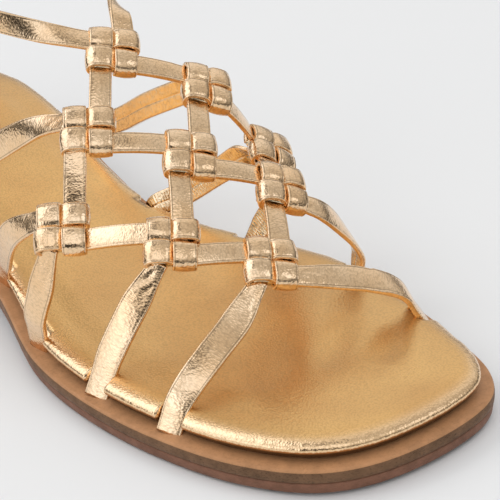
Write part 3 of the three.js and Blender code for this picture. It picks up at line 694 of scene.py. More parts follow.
def heel_layers(colours):
    """Stacked leather: thin layers with a dark glue line between them."""
    material, nodes = started("heel_layers")
    if nodes is None:
        return material
    place = nodes.add("ShaderNodeTexCoord").outputs["Object"]
    parted = nodes.add("ShaderNodeSeparateXYZ", None, Vector=place)
    wobble = nodes.maths("MULTIPLY", nodes.noise(place, 60.0, 2.0), 0.0006)
    height = nodes.maths("ADD", parted.outputs["Z"], wobble)
    phase = nodes.maths("FRACT", nodes.maths("DIVIDE", height, 0.0026))
    line = nodes.ramp(phase, ((0.0, (1, 1, 1)), (0.09, (0, 0, 0)), (0.93, (0, 0, 0)), (1.0, (1, 1, 1))))
    fibres = nodes.noise(nodes.mapped(place, (1.0, 1.0, 9.0)), 420.0, 4.0, 0.6)
    tone = nodes.blend(nodes.span(fibres, 0.3, 0.7, 0.0, 1.0),
                       rgba(colours.heel_brown), darker(colours.heel_brown, 0.6))
    lined = nodes.blend(line, tone, darker(colours.heel_brown, 0.3))
    height_map = nodes.maths("SUBTRACT", nodes.maths("MULTIPLY", fibres, 0.3), line)
    nodes.surface(lined, nodes.span(fibres, 0.3, 0.7, 0.42, 0.56), nodes.bump(height_map, 0.5, 0.00018), coat=0.1)
    return material


def tread_rubber(colours):
    """Dull dark rubber with a fine moulded texture."""
    material, nodes = started("tread_rubber")
    if nodes is None:
        return material
    place = nodes.add("ShaderNodeTexCoord").outputs["Object"]
    fine = nodes.noise(place, 2400.0, 2.0)
    dust = nodes.noise(place, 130.0, 4.0)
    dusty = rgba([channel * 1.9 for channel in tuple(colours.rubber)[:3]])
    tone = nodes.blend(nodes.span(dust, 0.4, 0.75, 0.0, 0.4), rgba(colours.rubber), dusty)
    nodes.surface(tone, nodes.span(dust, 0.3, 0.7, 0.7, 0.85), nodes.bump(fine, 0.3, 0.00008))
    return material


def buckle_gold(colours):
    """Polished plated metal with faint rub marks."""
    material, nodes = started("buckle_gold")
    if nodes is None:
        return material
    place = nodes.add("ShaderNodeTexCoord").outputs["Object"]
    rubbed = nodes.noise(nodes.mapped(place, (1.0, 3.0, 1.0), (0.3, 0.2, 0.7)), 900.0, 4.0, 0.7)
    dull = nodes.noise(place, 300.0, 3.0)
    tone = nodes.blend(nodes.span(dull, 0.35, 0.7, 0.0, 0.35),
                       rgba(colours.buckle_metal), darker(colours.buckle_metal, 0.7))
    nodes.surface(tone, nodes.span(rubbed, 0.35, 0.7, 0.09, 0.24), nodes.bump(rubbed, 0.08, 0.00005), 1.0)
    return material


def pale_floor(colours):
    material, nodes = started("pale_floor")
    if nodes is None:
        return material
    place = nodes.add("ShaderNodeTexCoord").outputs["Object"]
    cloudy = nodes.noise(place, 3.0, 2.0)
    tone = nodes.blend(nodes.span(cloudy, 0.3, 0.7, 0.0, 1.0), rgba(colours.floor), darker(colours.floor, 0.985))
    nodes.surface(tone, 0.7, nodes.bump(cloudy, 0.0, 0.001), specular=0.15)
    return material


def repeat_tree(name):
    """Geometry nodes that set a form at every point, with the point's own turn and size."""
    tree = bpy.data.node_groups.new(name, "GeometryNodeTree")
    sockets = {"Points": tree.interface.new_socket("Points", in_out="INPUT", socket_type="NodeSocketGeometry")}
    sockets["Form"] = tree.interface.new_socket("Form", in_out="INPUT", socket_type="NodeSocketObject")
    sockets["Finish"] = tree.interface.new_socket("Finish", in_out="INPUT", socket_type="NodeSocketMaterial")
    tree.interface.new_socket("Mesh", in_out="OUTPUT", socket_type="NodeSocketGeometry")
    add, link = tree.nodes.new, tree.links.new
    given, made = add("NodeGroupInput"), add("NodeGroupOutput")
    form, placed = add("GeometryNodeObjectInfo"), add("GeometryNodeInstanceOnPoints")
    link(given.outputs["Form"], form.inputs["Object"])
    link(form.outputs["Geometry"], placed.inputs["Instance"])
    link(given.outputs["Points"], placed.inputs["Points"])
    turned = add("FunctionNodeEulerToRotation")
    for attribute, socket in (("turn", turned.inputs["Euler"]), ("size", placed.inputs["Scale"])):
        read = add("GeometryNodeInputNamedAttribute")
        read.data_type = "FLOAT_VECTOR"
        read.inputs["Name"].default_value = attribute
        link(read.outputs["Attribute"], socket)
    link(turned.outputs["Rotation"], placed.inputs["Rotation"])
    real, finished = add("GeometryNodeRealizeInstances"), add("GeometryNodeSetMaterial")
    link(placed.outputs["Instances"], real.inputs["Geometry"])
    link(real.outputs["Geometry"], finished.inputs["Geometry"])
    link(given.outputs["Finish"], finished.inputs["Material"])
    link(finished.outputs["Geometry"], made.inputs[0])
    return tree, sockets


def repeated(name, form_points, form_faces, places, turns, scales, material):
    """Plain mesh of a small form, given in millimetres, at many places."""
    mesh = bpy.data.meshes.new(name + "_places")
    shift = np.array([0.0, HEEL_FOOTPRINT_CENTRE, 0.0])
    mesh.from_pydata(((np.asarray(places) - shift) * MM).tolist(), [], [])
    for attribute, values in (("turn", turns), ("size", scales)):
        data = mesh.attributes.new(attribute, "FLOAT_VECTOR", "POINT").data
        data.foreach_set("vector", np.asarray(values, float).ravel())
    form_mesh = bpy.data.meshes.new(name + "_form")
    form_mesh.from_pydata((np.asarray(form_points, float) * MM).tolist(), [], form_faces)
    form = bpy.data.objects.new(name + "_form", form_mesh)
    made = bpy.data.objects.new(name, mesh)
    for item in (form, made):
        bpy.context.scene.collection.objects.link(item)
    tree, sockets = repeat_tree(name + "_nodes")
    modifier = made.modifiers.new("repeat", "NODES")
    modifier.node_group = tree
    modifier[sockets["Form"].identifier] = form
    modifier[sockets["Finish"].identifier] = material
    graph = bpy.context.evaluated_depsgraph_get()
    plain = bpy.data.meshes.new_from_object(made.evaluated_get(graph))
    made.modifiers.clear()
    made.data = plain
    bpy.data.objects.remove(form)
    bpy.data.node_groups.remove(tree)
    if not plain.polygons:
        raise RuntimeError(f"{name} came out empty")
    return made


# Sole layers
def medial(points):
    """Point on the foot's middle line for each outline point."""
    y = np.clip(points[:, 1], 24.0, 224.0)
    x = (edge_x("inner", y) + edge_x("outer", y)) / 2.0
    return np.stack([x, y], axis=1)


def rings_shell(shell, rings, slots):
    """Closed skin through rings of one count, first and last of which lie on the middle line."""
    count = len(rings[0])
    quads = tube_quads(len(rings), count)
    before = len(shell.slots)
    shell.add(np.concatenate(rings), quads, np.zeros((len(quads), 4, 2)))
    shell.slots[before:] = np.repeat(slots, count).tolist()


def sole_rings(levels, caps=(0.45, 1.0)):
    """Rings of a sole layer from (spread, height over the floor's curve), capped at both ends."""
    middle = medial(OUTLINE)
    rings = []

    def ring(spread, height, share):
        flat = OUTLINE + OUTWARD * spread
        flat = flat + (middle - flat) * share
        return np.column_stack([flat, rise(flat[:, 1]) + height])

    for share in reversed(caps):
        rings.append(ring(*levels[0], share))
    rings.extend(ring(spread, height, 0.0) for spread, height in levels)
    for share in caps:
        rings.append(ring(*levels[-1], share))
    return rings


def closed_up(made):
    """Merges the points that meet on the middle line and at seams."""
    work = bmesh.new()
    work.from_mesh(made.data)
    bmesh.ops.remove_doubles(work, verts=work.verts, dist=2e-6)
    bmesh.ops.dissolve_degenerate(work, edges=work.edges, dist=1e-7)
    work.to_mesh(made.data)
    work.free()
    made.data.update()
    return made


def settle(made, slot, *nodes):
    """A finished piece rides on the shoe and stands for its nodes, which it hides; the slot is not used."""
    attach(made, "root")
    if nodes:
        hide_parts(*nodes)
    return made


def heel_rings(levels, stations=56):
    """Rings of a heel layer, cut at the breast; a level is (spread, flat height or None, height under the sole)."""
    rings = []
    for spread, flat, under in levels:
        grown = OUTLINE + OUTWARD * spread
        inner, outer = outline_sides(grown)
        first = inner[0, 1]
        share = (1.0 - np.cos(np.linspace(0.0, math.pi / 2.0, stations)))
        ys = first + (HEEL_BREAST - first) * share
        left = np.column_stack([np.interp(ys, inner[:, 1], inner[:, 0]), ys])
        right = np.column_stack([np.interp(ys, outer[:, 1], outer[:, 0]), ys])[::-1]
        front_x = np.linspace(left[-1, 0], right[0, 0], 14)[1:-1]
        front = np.column_stack([front_x, np.full(12, HEEL_BREAST)])
        flat_ring = np.concatenate([left, front, right[:-1]])
        height = np.full(len(flat_ring), flat) if under is None else rise(flat_ring[:, 1]) - under
        rings.append(np.column_stack([flat_ring, height]))
    return rings


def capped(rings):
    """Adds a middle point's ring at both ends."""
    def shut(ring, share):
        centre = ring.mean(axis=0)
        return centre + (ring - centre) * share
    return [shut(rings[0], 0.0), shut(rings[0], 0.6), *rings, shut(rings[-1], 0.6), shut(rings[-1], 0.0)]


# Properties that a user would change
def colour_setting(name, description, default):
    return bpy.props.FloatVectorProperty(
        name=name, description=description, subtype="COLOR", size=3, min=0.0, max=1.0, default=default)


def length_setting(name, description, default):
    return bpy.props.FloatProperty(name=name, description=description, unit="LENGTH", min=0.0, precision=5, default=default)


class SandalSizes(bpy.types.PropertyGroup):
    """Sizes of the straps, knots and padding."""
    strap_width: length_setting("Strap width", "Width of every strap", 0.0058)
    strap_thickness: length_setting("Strap thickness", "Thickness of a folded strap", 0.0015)
    strap_crown: length_setting("Strap crown", "How far a strap's face bulges", 0.00016)
    loop_width: length_setting("Loop width", "Width of a knot's loops", 0.0061)
    loop_thickness: length_setting("Loop thickness", "Thickness of a knot's loops", 0.0013)
    crease_depth: length_setting("Crease depth", "Depth of the straps' creases", 0.00004)
    padding_swell: length_setting("Padding swell", "How far the insole's padding swells", 0.0005)
    path_step: length_setting("Path step", "Distance between a strap's rings", 0.0006)


class SandalColours(bpy.types.PropertyGroup):
    """Colours of the finishes, as linear values."""
    strap_gold: colour_setting("Strap gold", "Foil of the straps", (0.97, 0.7, 0.44))
    strap_copper: colour_setting("Strap copper", "Rubbed parts of the foil", (0.92, 0.62, 0.35))
    # Painted bounce light: the gold that the straps' undersides take.
    underside_bounce_gold: colour_setting("Inner gold", "Inner faces of the straps", (0.9, 0.7, 0.44))
    insole_gold: colour_setting("Insole gold", "Foil of the insole", (0.9, 0.54, 0.2))
    insole_copper: colour_setting("Insole copper", "Rubbed parts of the insole", (0.8, 0.46, 0.17))
    ledge_tan: colour_setting("Ledge tan", "Top of the ledge", (0.5, 0.25, 0.115))
    welt_brown: colour_setting("Welt brown", "Upper band of the sole's side", (0.2, 0.105, 0.052))
    sole_brown: colour_setting("Sole brown", "Lower band of the sole's side", (0.25, 0.115, 0.068))
    heel_brown: colour_setting("Heel brown", "Stacked leather of the heel", (0.2, 0.11, 0.07))
    rubber: colour_setting("Rubber", "Heel's top piece and tread", (0.035, 0.025, 0.02))
    buckle_metal: colour_setting("Buckle metal", "Plated metal of the buckle", (0.88, 0.66, 0.34))
    floor: colour_setting("Floor", "Plain studio floor", (0.8, 0.8, 0.8))


def sizes():
    return bpy.context.scene.sandal_sizes


def colours():
    return bpy.context.scene.sandal_colours


def strap_shape():
    s = sizes()
    return strap_section(s.strap_width / MM, s.strap_thickness / MM, s.strap_crown / MM, 0.04)


class SandalSole(bpy.types.Operator):
    """Outsole and the ledge layer over it, with their coloured edges."""
    bl_idname = "sandal.sole"
    bl_label = "Sole and ledge"

    def execute(self, context):
        look = colours()
        shell = Shell()
        levels = [(2.0, 0.35), (2.35, 0.12), (2.75, 0.45), (3.05, 1.1), (3.25, 2.2), (3.3, 3.1), (3.2, 3.42)]
        rings = sole_rings(levels)
        rings_shell(shell, rings, [0] * (len(rings) - 1))
        sole = closed_up(shell.build("outsole_leather", [
            sole_leather("sole_edge", look.sole_brown, darker(look.sole_brown, 0.55), 0.35, 0.5)]))
        settle(sole, "outsole_leather", "outsole")
        self.tread(look)
        shell = Shell()
        levels = [(3.2, 3.55), (3.5, 3.75), (3.6, 4.6), (3.62, 5.8), (3.5, 6.55), (3.2, 6.95), (2.8, 7.1)]
        rings = sole_rings(levels)
        slots = [1] * (len(rings) - 1)
        slots[-4:] = [0, 0, 0, 0]
        rings_shell(shell, rings, slots)
        ledge = closed_up(shell.build("ledge_leather", [
            sole_leather("ledge_top", look.ledge_tan, darker(look.ledge_tan, 0.7), 0.25, 0.46),
            sole_leather("welt_edge", look.welt_brown, darker(look.welt_brown, 0.5), 0.8, 0.55)]))
        settle(ledge, "ledge_leather", "midsole")
        return {"FINISHED"}

    def tread(self, look):
        ys = np.arange(TREAD_FROM, TREAD_TO, TREAD_STEP)
        low, high = edge_x("inner", ys) + TREAD_MARGIN, edge_x("outer", ys) - TREAD_MARGIN
        slope = (rise(ys + 0.5) - rise(ys - 0.5))
        places = np.column_stack([(low + high) / 2.0, ys, rise(ys)])
        turns = np.column_stack([np.arctan(slope), np.zeros_like(ys), np.zeros_like(ys)])
        scales = np.column_stack([high - low, np.ones_like(ys), np.ones_like(ys)])
        leather = sole_leather("sole_edge", look.sole_brown, darker(look.sole_brown, 0.55), 0.35, 0.5)
        ribs = repeated("tread_ribs", *rib_form(), places, turns, scales, leather)
        settle(ribs, "outsole_leather", "outsole")


def insole_creases(points):
    """Depth of the soft folds that the ball of the foot leaves in the padding."""
    depth = np.zeros(len(points))
    for x0, y0, x1, y1, reach, deep in INSOLE_FOLDS:
        start, way = np.array([x0, y0]), np.array([x1 - x0, y1 - y0])
        share = np.clip((points[:, :2] - start) @ way / way.dot(way), 0.0, 1.0)
        away = np.linalg.norm(points[:, :2] - start - share[:, None] * way, axis=1)
        taper = np.sin(math.pi * np.clip(0.12 + 0.8 * share, 0.0, 1.0))
        depth += deep * taper * np.exp(-(away / reach) ** 2)
    return depth


def rib_form():
    """Bar of one millimetre's length, with a bevelled underside, as points and faces."""
    section = [(-0.75, 0.45), (-0.75, 0.12), (-0.55, 0.0), (0.55, 0.0), (0.75, 0.12), (0.75, 0.45)]
    points = [(x, y, z) for x in (-0.5, 0.5) for y, z in section]
    count = len(section)
    faces = [(k, (k + 1) % count, (k + 1) % count + count, k + count) for k in range(count)]
    return points, [tuple(range(count - 1, -1, -1)), *faces, tuple(range(count, 2 * count))]


class SandalInsole(bpy.types.Operator):
    """Padded insole with a rolled rim, pinched in at each strap."""
    bl_idname = "sandal.insole"
    bl_label = "Padded insole"

    def execute(self, context):
        swell = sizes().padding_swell / MM
        outline, outward, distances, length = insole_outline(1500)
        notches, leans = np.zeros(len(outline)), np.zeros(len(outline))
        ends = [(leg[3], leg[4], leg[5][-1]) for leg in LEGS] + [strap[:3] for strap in HEEL_STRAPS]
        for edge, y, last in ends:
            x = float(edge_x(edge, y))
            brow = leg_end(edge, y, last)[0]
            inward = (x - brow[0]) * np.sign(x)
            nearest = distances[np.argmin(np.hypot(outline[:, 0] - x, outline[:, 1] - y))]
            gap = np.abs((distances - nearest + length / 2.0) % length - length / 2.0)
            hold = 1.0 - smooth(gap, 2.7, 4.3)
            leans = np.where(hold > notches, max(0.0, inward), leans)
            notches = np.maximum(notches, hold)
        middle = medial(outline)
        profile = [(-3.0, 7.42), (-1.6, 7.45), (-0.9, 7.9), (-0.5, 8.6), (-0.25, 9.1), (0.1, 9.5), (0.36, 10.0),
                   (0.42, 10.5), (0.27, 11.0), (-0.15, 11.45), (-0.8, 11.85), (-1.7, 12.18), (-2.8, 12.45),
                   (-4.1, 12.68), (-5.6, 12.83), (-7.6, 12.9)]
        rings, rims, shades = [], [], []

        def ring(spread, height, share, top):
            hold = notches * (1.0 - smooth(-spread, 1.0, 3.4)) * (1.0 - smooth(share, 0.0, 0.1))
            up = np.clip((height - LEDGE_TOP) / (INSOLE_TOP - LEDGE_TOP), 0.0, 1.0)
            flat = outline + outward * (spread - (1.5 + leans * up) * hold)[:, None]
            flat = flat + (middle - flat) * share
            z = rise(flat[:, 1]) + height - (0.4 * hold if top else 0.0)
            return np.column_stack([flat, z])

        for share in (1.0, 0.5):
            rings.append(ring(*profile[0], share, False))
            rims.append(1.0)
            shades.append(1.0)
        for spread, height in profile:
            made = ring(spread, height, 0.0, height > 11.0)
            wall = smooth(height, 8.0, 9.5) * (1.0 - smooth(height, 11.7, 12.3))
            if wall > 0.0:
                level = np.full(len(distances), height * 0.5)
                along = np.column_stack([distances, level, np.zeros(len(distances))])
                creases = (bumps(along, 1.6, 5) * 0.09 + bumps(along, 8.0, 6) * 0.14) * wall
                made[:, :2] += outward * creases[:, None]
                made[:, 2] += creases * 0.5
            rings.append(made)
            # The rim mark sets the rim's painted highlight colour, its lower roughness and its crinkles.
            rims.append(1.0 - float(smooth(height, 11.9, 12.7)))
            # The low wall under the roll is marked for painted shade in the insole's finish.
            shades.append(1.0 - float(smooth(height, 9.2, 10.2)))
        for share in np.linspace(0.0, 1.0, 40)[1:]:
            made = ring(*profile[-1], share, True)
            places = made.copy()
            places[:, 2] = 0.0
            broad = bumps(places, 40.0, 2)
            fade = smooth(share, 0.0, 0.3)
            made[:, 2] += fade * (swell * (0.6 + broad) - insole_creases(made))
            rings.append(made)
            rims.append(0.0)
            shades.append(0.0)
        shell = Shell()
        rings_shell(shell, rings, [0] * (len(rings) - 1))
        shell.border = [np.repeat(rims, len(outline))]
        shell.inner = [np.repeat(shades, len(outline))]
        insole = closed_up(shell.build("padded_insole", [insole_foil(colours())]))
        settle(insole, "insole_leather", "insole")
        return {"FINISHED"}


class SandalHeel(bpy.types.Operator):
    """Stacked heel with its rubber top piece."""
    bl_idname = "sandal.heel"
    bl_label = "Heel and top piece"

    def execute(self, context):
        look = colours()
        levels = [(1.3, 3.3, None), (1.5, 3.42, None), (1.6, 5.0, None), (1.7, 6.8, None), (1.85, 9.0, None)]
        rings = heel_rings(levels)
        top = heel_rings([(2.4, None, 0.25), (2.15, None, 0.12)])
        shares = (0.55, 0.8)
        for share in shares:
            rings.append(rings[4] * (1.0 - share) + top[0] * share)
        rings.extend(top)
        for ring in rings[:7]:
            ring[:, 2] = np.minimum(ring[:, 2], top[0][:, 2] - 0.02)
        rings = capped(rings)
        shell = Shell()
        rings_shell(shell, rings, [0] * (len(rings) - 1))
        heel = closed_up(shell.build("heel_stack", [heel_layers(look)]))
        settle(heel, "heel_stack", "heel")
        levels = [(0.5, 0.0, None), (0.95, 0.12, None), (1.3, 0.7, None), (1.4, 2.2, None), (1.35, 2.95, None)]
        rings = capped(heel_rings(levels))
        shell = Shell()
        rings_shell(shell, rings, [0] * (len(rings) - 1))
        lift = closed_up(shell.build("heel_rubber", [tread_rubber(look)]))
        settle(lift, "heel_rubber", "heel_top_piece")
        return {"FINISHED"}


class SandalKnots(bpy.types.Operator):
    """Nine woven knots, each of four loops that tuck under one another."""
    bl_idname = "sandal.knots"
    bl_label = "Woven knots"

    def execute(self, context):
        s = sizes()
        width, thickness = s.loop_width / MM, s.loop_thickness / MM
        section, inner, border = strap_section(width, thickness, 0.24, 0.05)
        core, core_inner, core_border = strap_section(5.0, 2.2, 0.1, 0.0)
        path = spline(LOOP_PATH)
        length = travelled(path)[-1]
        path = resampled(path, np.linspace(0.0, length, 46))
        shell = Shell()
        for row in range(3):
            for column in range(3):
                seed = row * 3 + column
                base, along, down, out = FRAMES[row][column]
                along, down = turned_pair(along, down, math.radians(1.8 * math.sin(seed * 2.3 + 0.7)))
                knot = (base, along, down, out)
                for quarter, (outward, sideways) in enumerate(QUARTERS):
                    vary = math.sin(seed * 1.7 + quarter * 2.1)
                    grown = path * np.array([1.0 + 0.012 * vary, 1.0 + 0.04 * vary])
                    centre = 0.1 + width / 2.0
                    points = np.array([in_knot(
                        knot, outward[0] * reach + sideways[0] * centre, outward[1] * reach + sideways[1] * centre, lift)
                        for reach, lift in grown])
                    side = along * sideways[0] + down * sideways[1]
                    lean = math.radians(5.0) * smooth(grown[:, 1], 0.5, 2.5)
                    normals = unit(np.cross(tangents(points), side))
                    if normals[20].dot(out) < 0.0:
                        normals = -normals
                    normals = unit(normals * np.cos(lean)[:, None] + side * np.sin(lean)[:, None])
                    sweep(shell, points, normals, section, inner, border, seed * 4 + quarter,
                          crinkle(0.05, seed * 4 + quarter, ((9.5, 1.5, 0.12), (17.0, 1.6, 0.2))))
                for lift, way in ((0.9, along), (0.5, down), (-1.0, along + down), (-1.75, along - down)):
                    reach = 5.6 if lift > 0 else 6.0
                    steps = np.linspace(-1.0, 1.0, 24)
                    way = unit(way)
                    sag = 0.5 * (1.0 - steps ** 2) if lift < 0 else np.zeros(24)
                    points = base + way * (steps * reach)[:, None] + out * (lift - sag)[:, None]
                    wide = 2.0 if lift > 0 else 1.0
                    # The whole core takes the underside gold, so the slits between the loops show painted bounce
                    # light.
                    sweep(shell, points, np.tile(out, (24, 1)), core, np.ones_like(core_inner), core_border, seed + 50,
                          crinkle(0.04, seed + 50), np.full(24, wide))
        knots = shell.build("woven_knots", [strap_foil(colours())])
        settle(knots, "strap_leather", "upper")
        return {"FINISHED"}


class SandalNet(bpy.types.Operator):
    """Straps of the net between the knots."""
    bl_idname = "sandal.net"
    bl_label = "Net straps"

    def execute(self, context):
        section, inner, border = strap_shape()
        step, depth = sizes().path_step / MM, sizes().crease_depth / MM
        shell = Shell()
        seed = 0
        for row in range(3):
            for column in range(3):
                ends = []
                if column < 2:
                    ends.append(((row, column), "rowEnd", (row, column + 1), "rowStart"))
                if row < 2:
                    ends.append(((row, column), "columnEnd", (row + 1, column), "columnStart"))
                for start, start_side, end, end_side in ends:
                    seed += 1
                    points, normals = net_span(start, start_side, end, end_side, step)
                    length = travelled(points)[-1]
                    sweep(shell, points, normals, section, inner, border, seed,
                          crinkle(depth, seed, ((3.5, 1.8, 0.12), (length - 3.5, 1.8, 0.12))))
        net = shell.build("net_straps", [strap_foil(colours())])
        settle(net, "strap_leather", "upper")
        return {"FINISHED"}


class SandalLegs(bpy.types.Operator):
    """Straps from the net down to the ledge, and the two at the heel."""
    bl_idname = "sandal.legs"
    bl_label = "Side and heel straps"

    def execute(self, context):
        section, inner, border = strap_shape()
        step, depth = sizes().path_step / MM, sizes().crease_depth / MM
        shell = Shell()
        for number, (row, column, side, edge, y, via) in enumerate(LEGS):
            route = [port(row, column, side), *via, *leg_end(edge, y, via[-1])]
            points, normals = routed(route, step, FRAMES[row][column][3], None, LEG_TURN)
            length = travelled(points)[-1]
            place = travelled(points)
            gathered = side.startswith("column")
            narrow = 0.82 if gathered else 1.0
            widened = smooth(place, 0.0, 13.0 if gathered else length * 0.4)
            widths = narrow + (1.3 - narrow) * widened - 0.16 * smooth(place, length * 0.6, length - 2.0)
            folds = crinkle(depth, number + 20, ((4.0, 4.5, 0.85 if gathered else 0.4),))
            if number == LONG_LEG:
                folds = lapped(folds, 23.0)
            sweep(shell, points, normals, section, inner, border, number + 20, folds, widths)
        for number, (edge, y, via, top) in enumerate(HEEL_STRAPS):
            points, normals = routed([top, via, *leg_end(edge, y, via)], step)
            sweep(shell, points, normals, section, inner, border, number + 40, crinkle(depth, number + 40))
        legs = shell.build("side_straps", [strap_foil(colours())])
        settle(legs, "strap_leather", "upper")
        return {"FINISHED"}


def lapped(relief, place):
    """Adds the slanting end of an overlapping layer at a place along a strap."""
    def more(distances, section):
        slant = distances[:, None] - place - 0.45 * section[None, :, 0]
        layer = 0.3 * smooth(slant, 0.0, 0.5) * (section[None, :, 1] > 0)
        return relief(distances, section) + layer
    return more


def ankle_track():
    """Even points on the ankle strap's middle and the index next to the buckle."""
    curve = spline(ankle_knots())
    length = travelled(curve)[-1]
    points = resampled(curve, np.linspace(0.0, length, 1201))
    index = int(np.argmin(np.hypot(points[:, 0] - BUCKLE_AT[0], points[:, 1] - BUCKLE_AT[1])))
    return points, index, length / 1200.0


def ankle_place(behind):
    """Origin, backward, across and outward directions at a distance behind the buckle."""
    points, index, step = ankle_track()
    index = int(round(index - behind / step))
    origin = points[index]
    back = unit(points[index - 12] - points[index + 12])
    across = unit(np.cross(back, skin_normals(origin[None])[0]))
    return origin, back, across, np.cross(across, back)


class SandalAnkle(bpy.types.Operator):
    """Ankle strap with its free end and keeper loop."""
    bl_idname = "sandal.ankle"
    bl_label = "Ankle strap"

    def execute(self, context):
        look, s = colours(), sizes()
        section, inner, border = strap_shape()
        shell = Shell()
        out = FRAMES[0][0][3]
        points, normals = routed(ankle_knots(), s.path_step / MM, out, out)
        length = travelled(points)[-1]
        sweep(shell, points, normals, section, inner, border, 60,
              crinkle(s.crease_depth / MM, 60, ((5.0, 3.0, 0.15), (length - 5.0, 3.0, 0.15))))
        ankle = shell.build("ankle_strap", [strap_foil(look)])
        settle(ankle, "strap_leather", "upper")
        self.free_end(look, s)
        self.keeper(look)
        return {"FINISHED"}

    def free_end(self, look, s):
        rest = s.strap_thickness / MM / 2.0 + 0.3 + FREE_THICKNESS / 2.0
        over_bar = rest + BUCKLE_BAR + 0.45
        bar_at = (BUCKLE_LENGTH - BUCKLE_BAR) / 2.0
        behinds = np.linspace(-0.8, FREE_LENGTH, 60)
        near = np.abs(behinds - bar_at)
        climb = np.where(behinds < bar_at, 1.0 - smooth(near, 2.4, 4.8), 1.0 - smooth(near, 2.4, 7.5))
        points, normals = [], []
        for behind, share in zip(behinds, climb):
            origin, _, _, out = ankle_place(behind)
            points.append(origin + out * (rest + (over_bar - rest) * share))
            normals.append(out)
        section, inner, border = strap_section(FREE_WIDTH, FREE_THICKNESS, 0.08, 0.06)
        tip = np.clip((FREE_LENGTH - behinds) / 4.0, 0.0, 1.0)
        widths = np.where(tip < 1.0, np.sqrt(np.maximum(1.0 - (1.0 - tip) ** 2, 0.03)), 1.0)
        shell = Shell()
        sweep(shell, np.array(points), np.array(normals), section, inner, border, 61, crinkle(0.04, 61), widths)
        settle(shell.build("strap_free_end", [strap_foil(look)]), "strap_leather", "ankle_strap_end")

    def keeper(self, look):
        origin, back, across, out = ankle_place(KEEPER_FROM)
        stack = 1.8 + 0.3 + FREE_THICKNESS
        half_out, half_across = (stack + 0.9) / 2.0 + 0.55, (5.8 + 0.9) / 2.0 + 0.55
        middle = (stack - 1.8) / 2.0
        turns = np.linspace(0.0, 2.0 * math.pi, 72, endpoint=False)
        power = 0.42
        cos, sin = np.cos(turns), np.sin(turns)
        a = half_across * np.sign(cos) * np.abs(cos) ** power
        b = half_out * np.sign(sin) * np.abs(sin) ** power
        loop = np.concatenate([np.stack([a, b], axis=1)] * 2)[:73]
        section, inner, border = strap_section(KEEPER_LENGTH, 1.1, 0.05, 0.05)
        points = origin + across * loop[:, :1] + out * (middle + loop[:, 1:])
        points = points + back * (KEEPER_LENGTH / 2.0)
        facing = unit(across * (loop[:, :1] / half_across) + out * (loop[:, 1:] / half_out))
        shell = Shell()
        sweep(shell, points, facing, section, inner, border, 62, crinkle(0.03, 62))
        settle(shell.build("strap_keeper", [strap_foil(look)]), "strap_leather", "keeper_loop")


class SandalBuckle(bpy.types.Operator):
    """Rounded metal frame with its prong."""
    bl_idname = "sandal.buckle"
    bl_label = "Buckle"

    def execute(self, context):
        origin, back, across, out = ankle_place(0.0)
        lift = 0.9 + 0.3 + BUCKLE_BAR / 2.0
        radius = BUCKLE_BAR / 2.0
        length, width, corner = BUCKLE_LENGTH / 2.0 - radius, BUCKLE_WIDTH / 2.0 - radius, 2.2
        centres = ((1, -1, -90), (1, 1, 0), (-1, 1, 90), (-1, -1, 180))
        loop = [(sx * (length - corner) + corner * math.cos(math.radians(start + turn)),
                 sy * (width - corner) + corner * math.sin(math.radians(start + turn)))
                for sx, sy, start in centres for turn in np.linspace(0.0, 90.0, 12)]
        loop = np.array(loop + loop[:2])
        angles = np.linspace(0.0, 2.0 * math.pi, 20, endpoint=False)
        power = 0.8
        section = np.stack([radius * np.sign(np.cos(angles)) * np.abs(np.cos(angles)) ** power,
                            radius * np.sign(np.sin(angles)) * np.abs(np.sin(angles)) ** power], axis=1)
        plain = np.zeros(20)
        shell = Shell()
        points = origin + back * loop[:, :1] + across * loop[:, 1:] + out * lift
        sweep(shell, points, np.tile(out, (len(points), 1)), section, plain, plain, 70)
        reach = np.linspace(-length - 0.2, -length + 4.2, 14)
        arch = 0.9 + 0.5 * np.sin(np.linspace(0.0, math.pi, 14))
        points = origin + back * reach[:, None] + out * (lift + arch)[:, None]
        thin = section * np.array([0.72, 0.55])
        widths = np.linspace(1.0, 0.55, 14)
        sweep(shell, points, np.tile(out, (14, 1)), thin, plain, plain, 71, None, widths)
        settle(shell.build("buckle_frame", [buckle_gold(colours())]), "buckle_metal", "buckle")
        return {"FINISHED"}


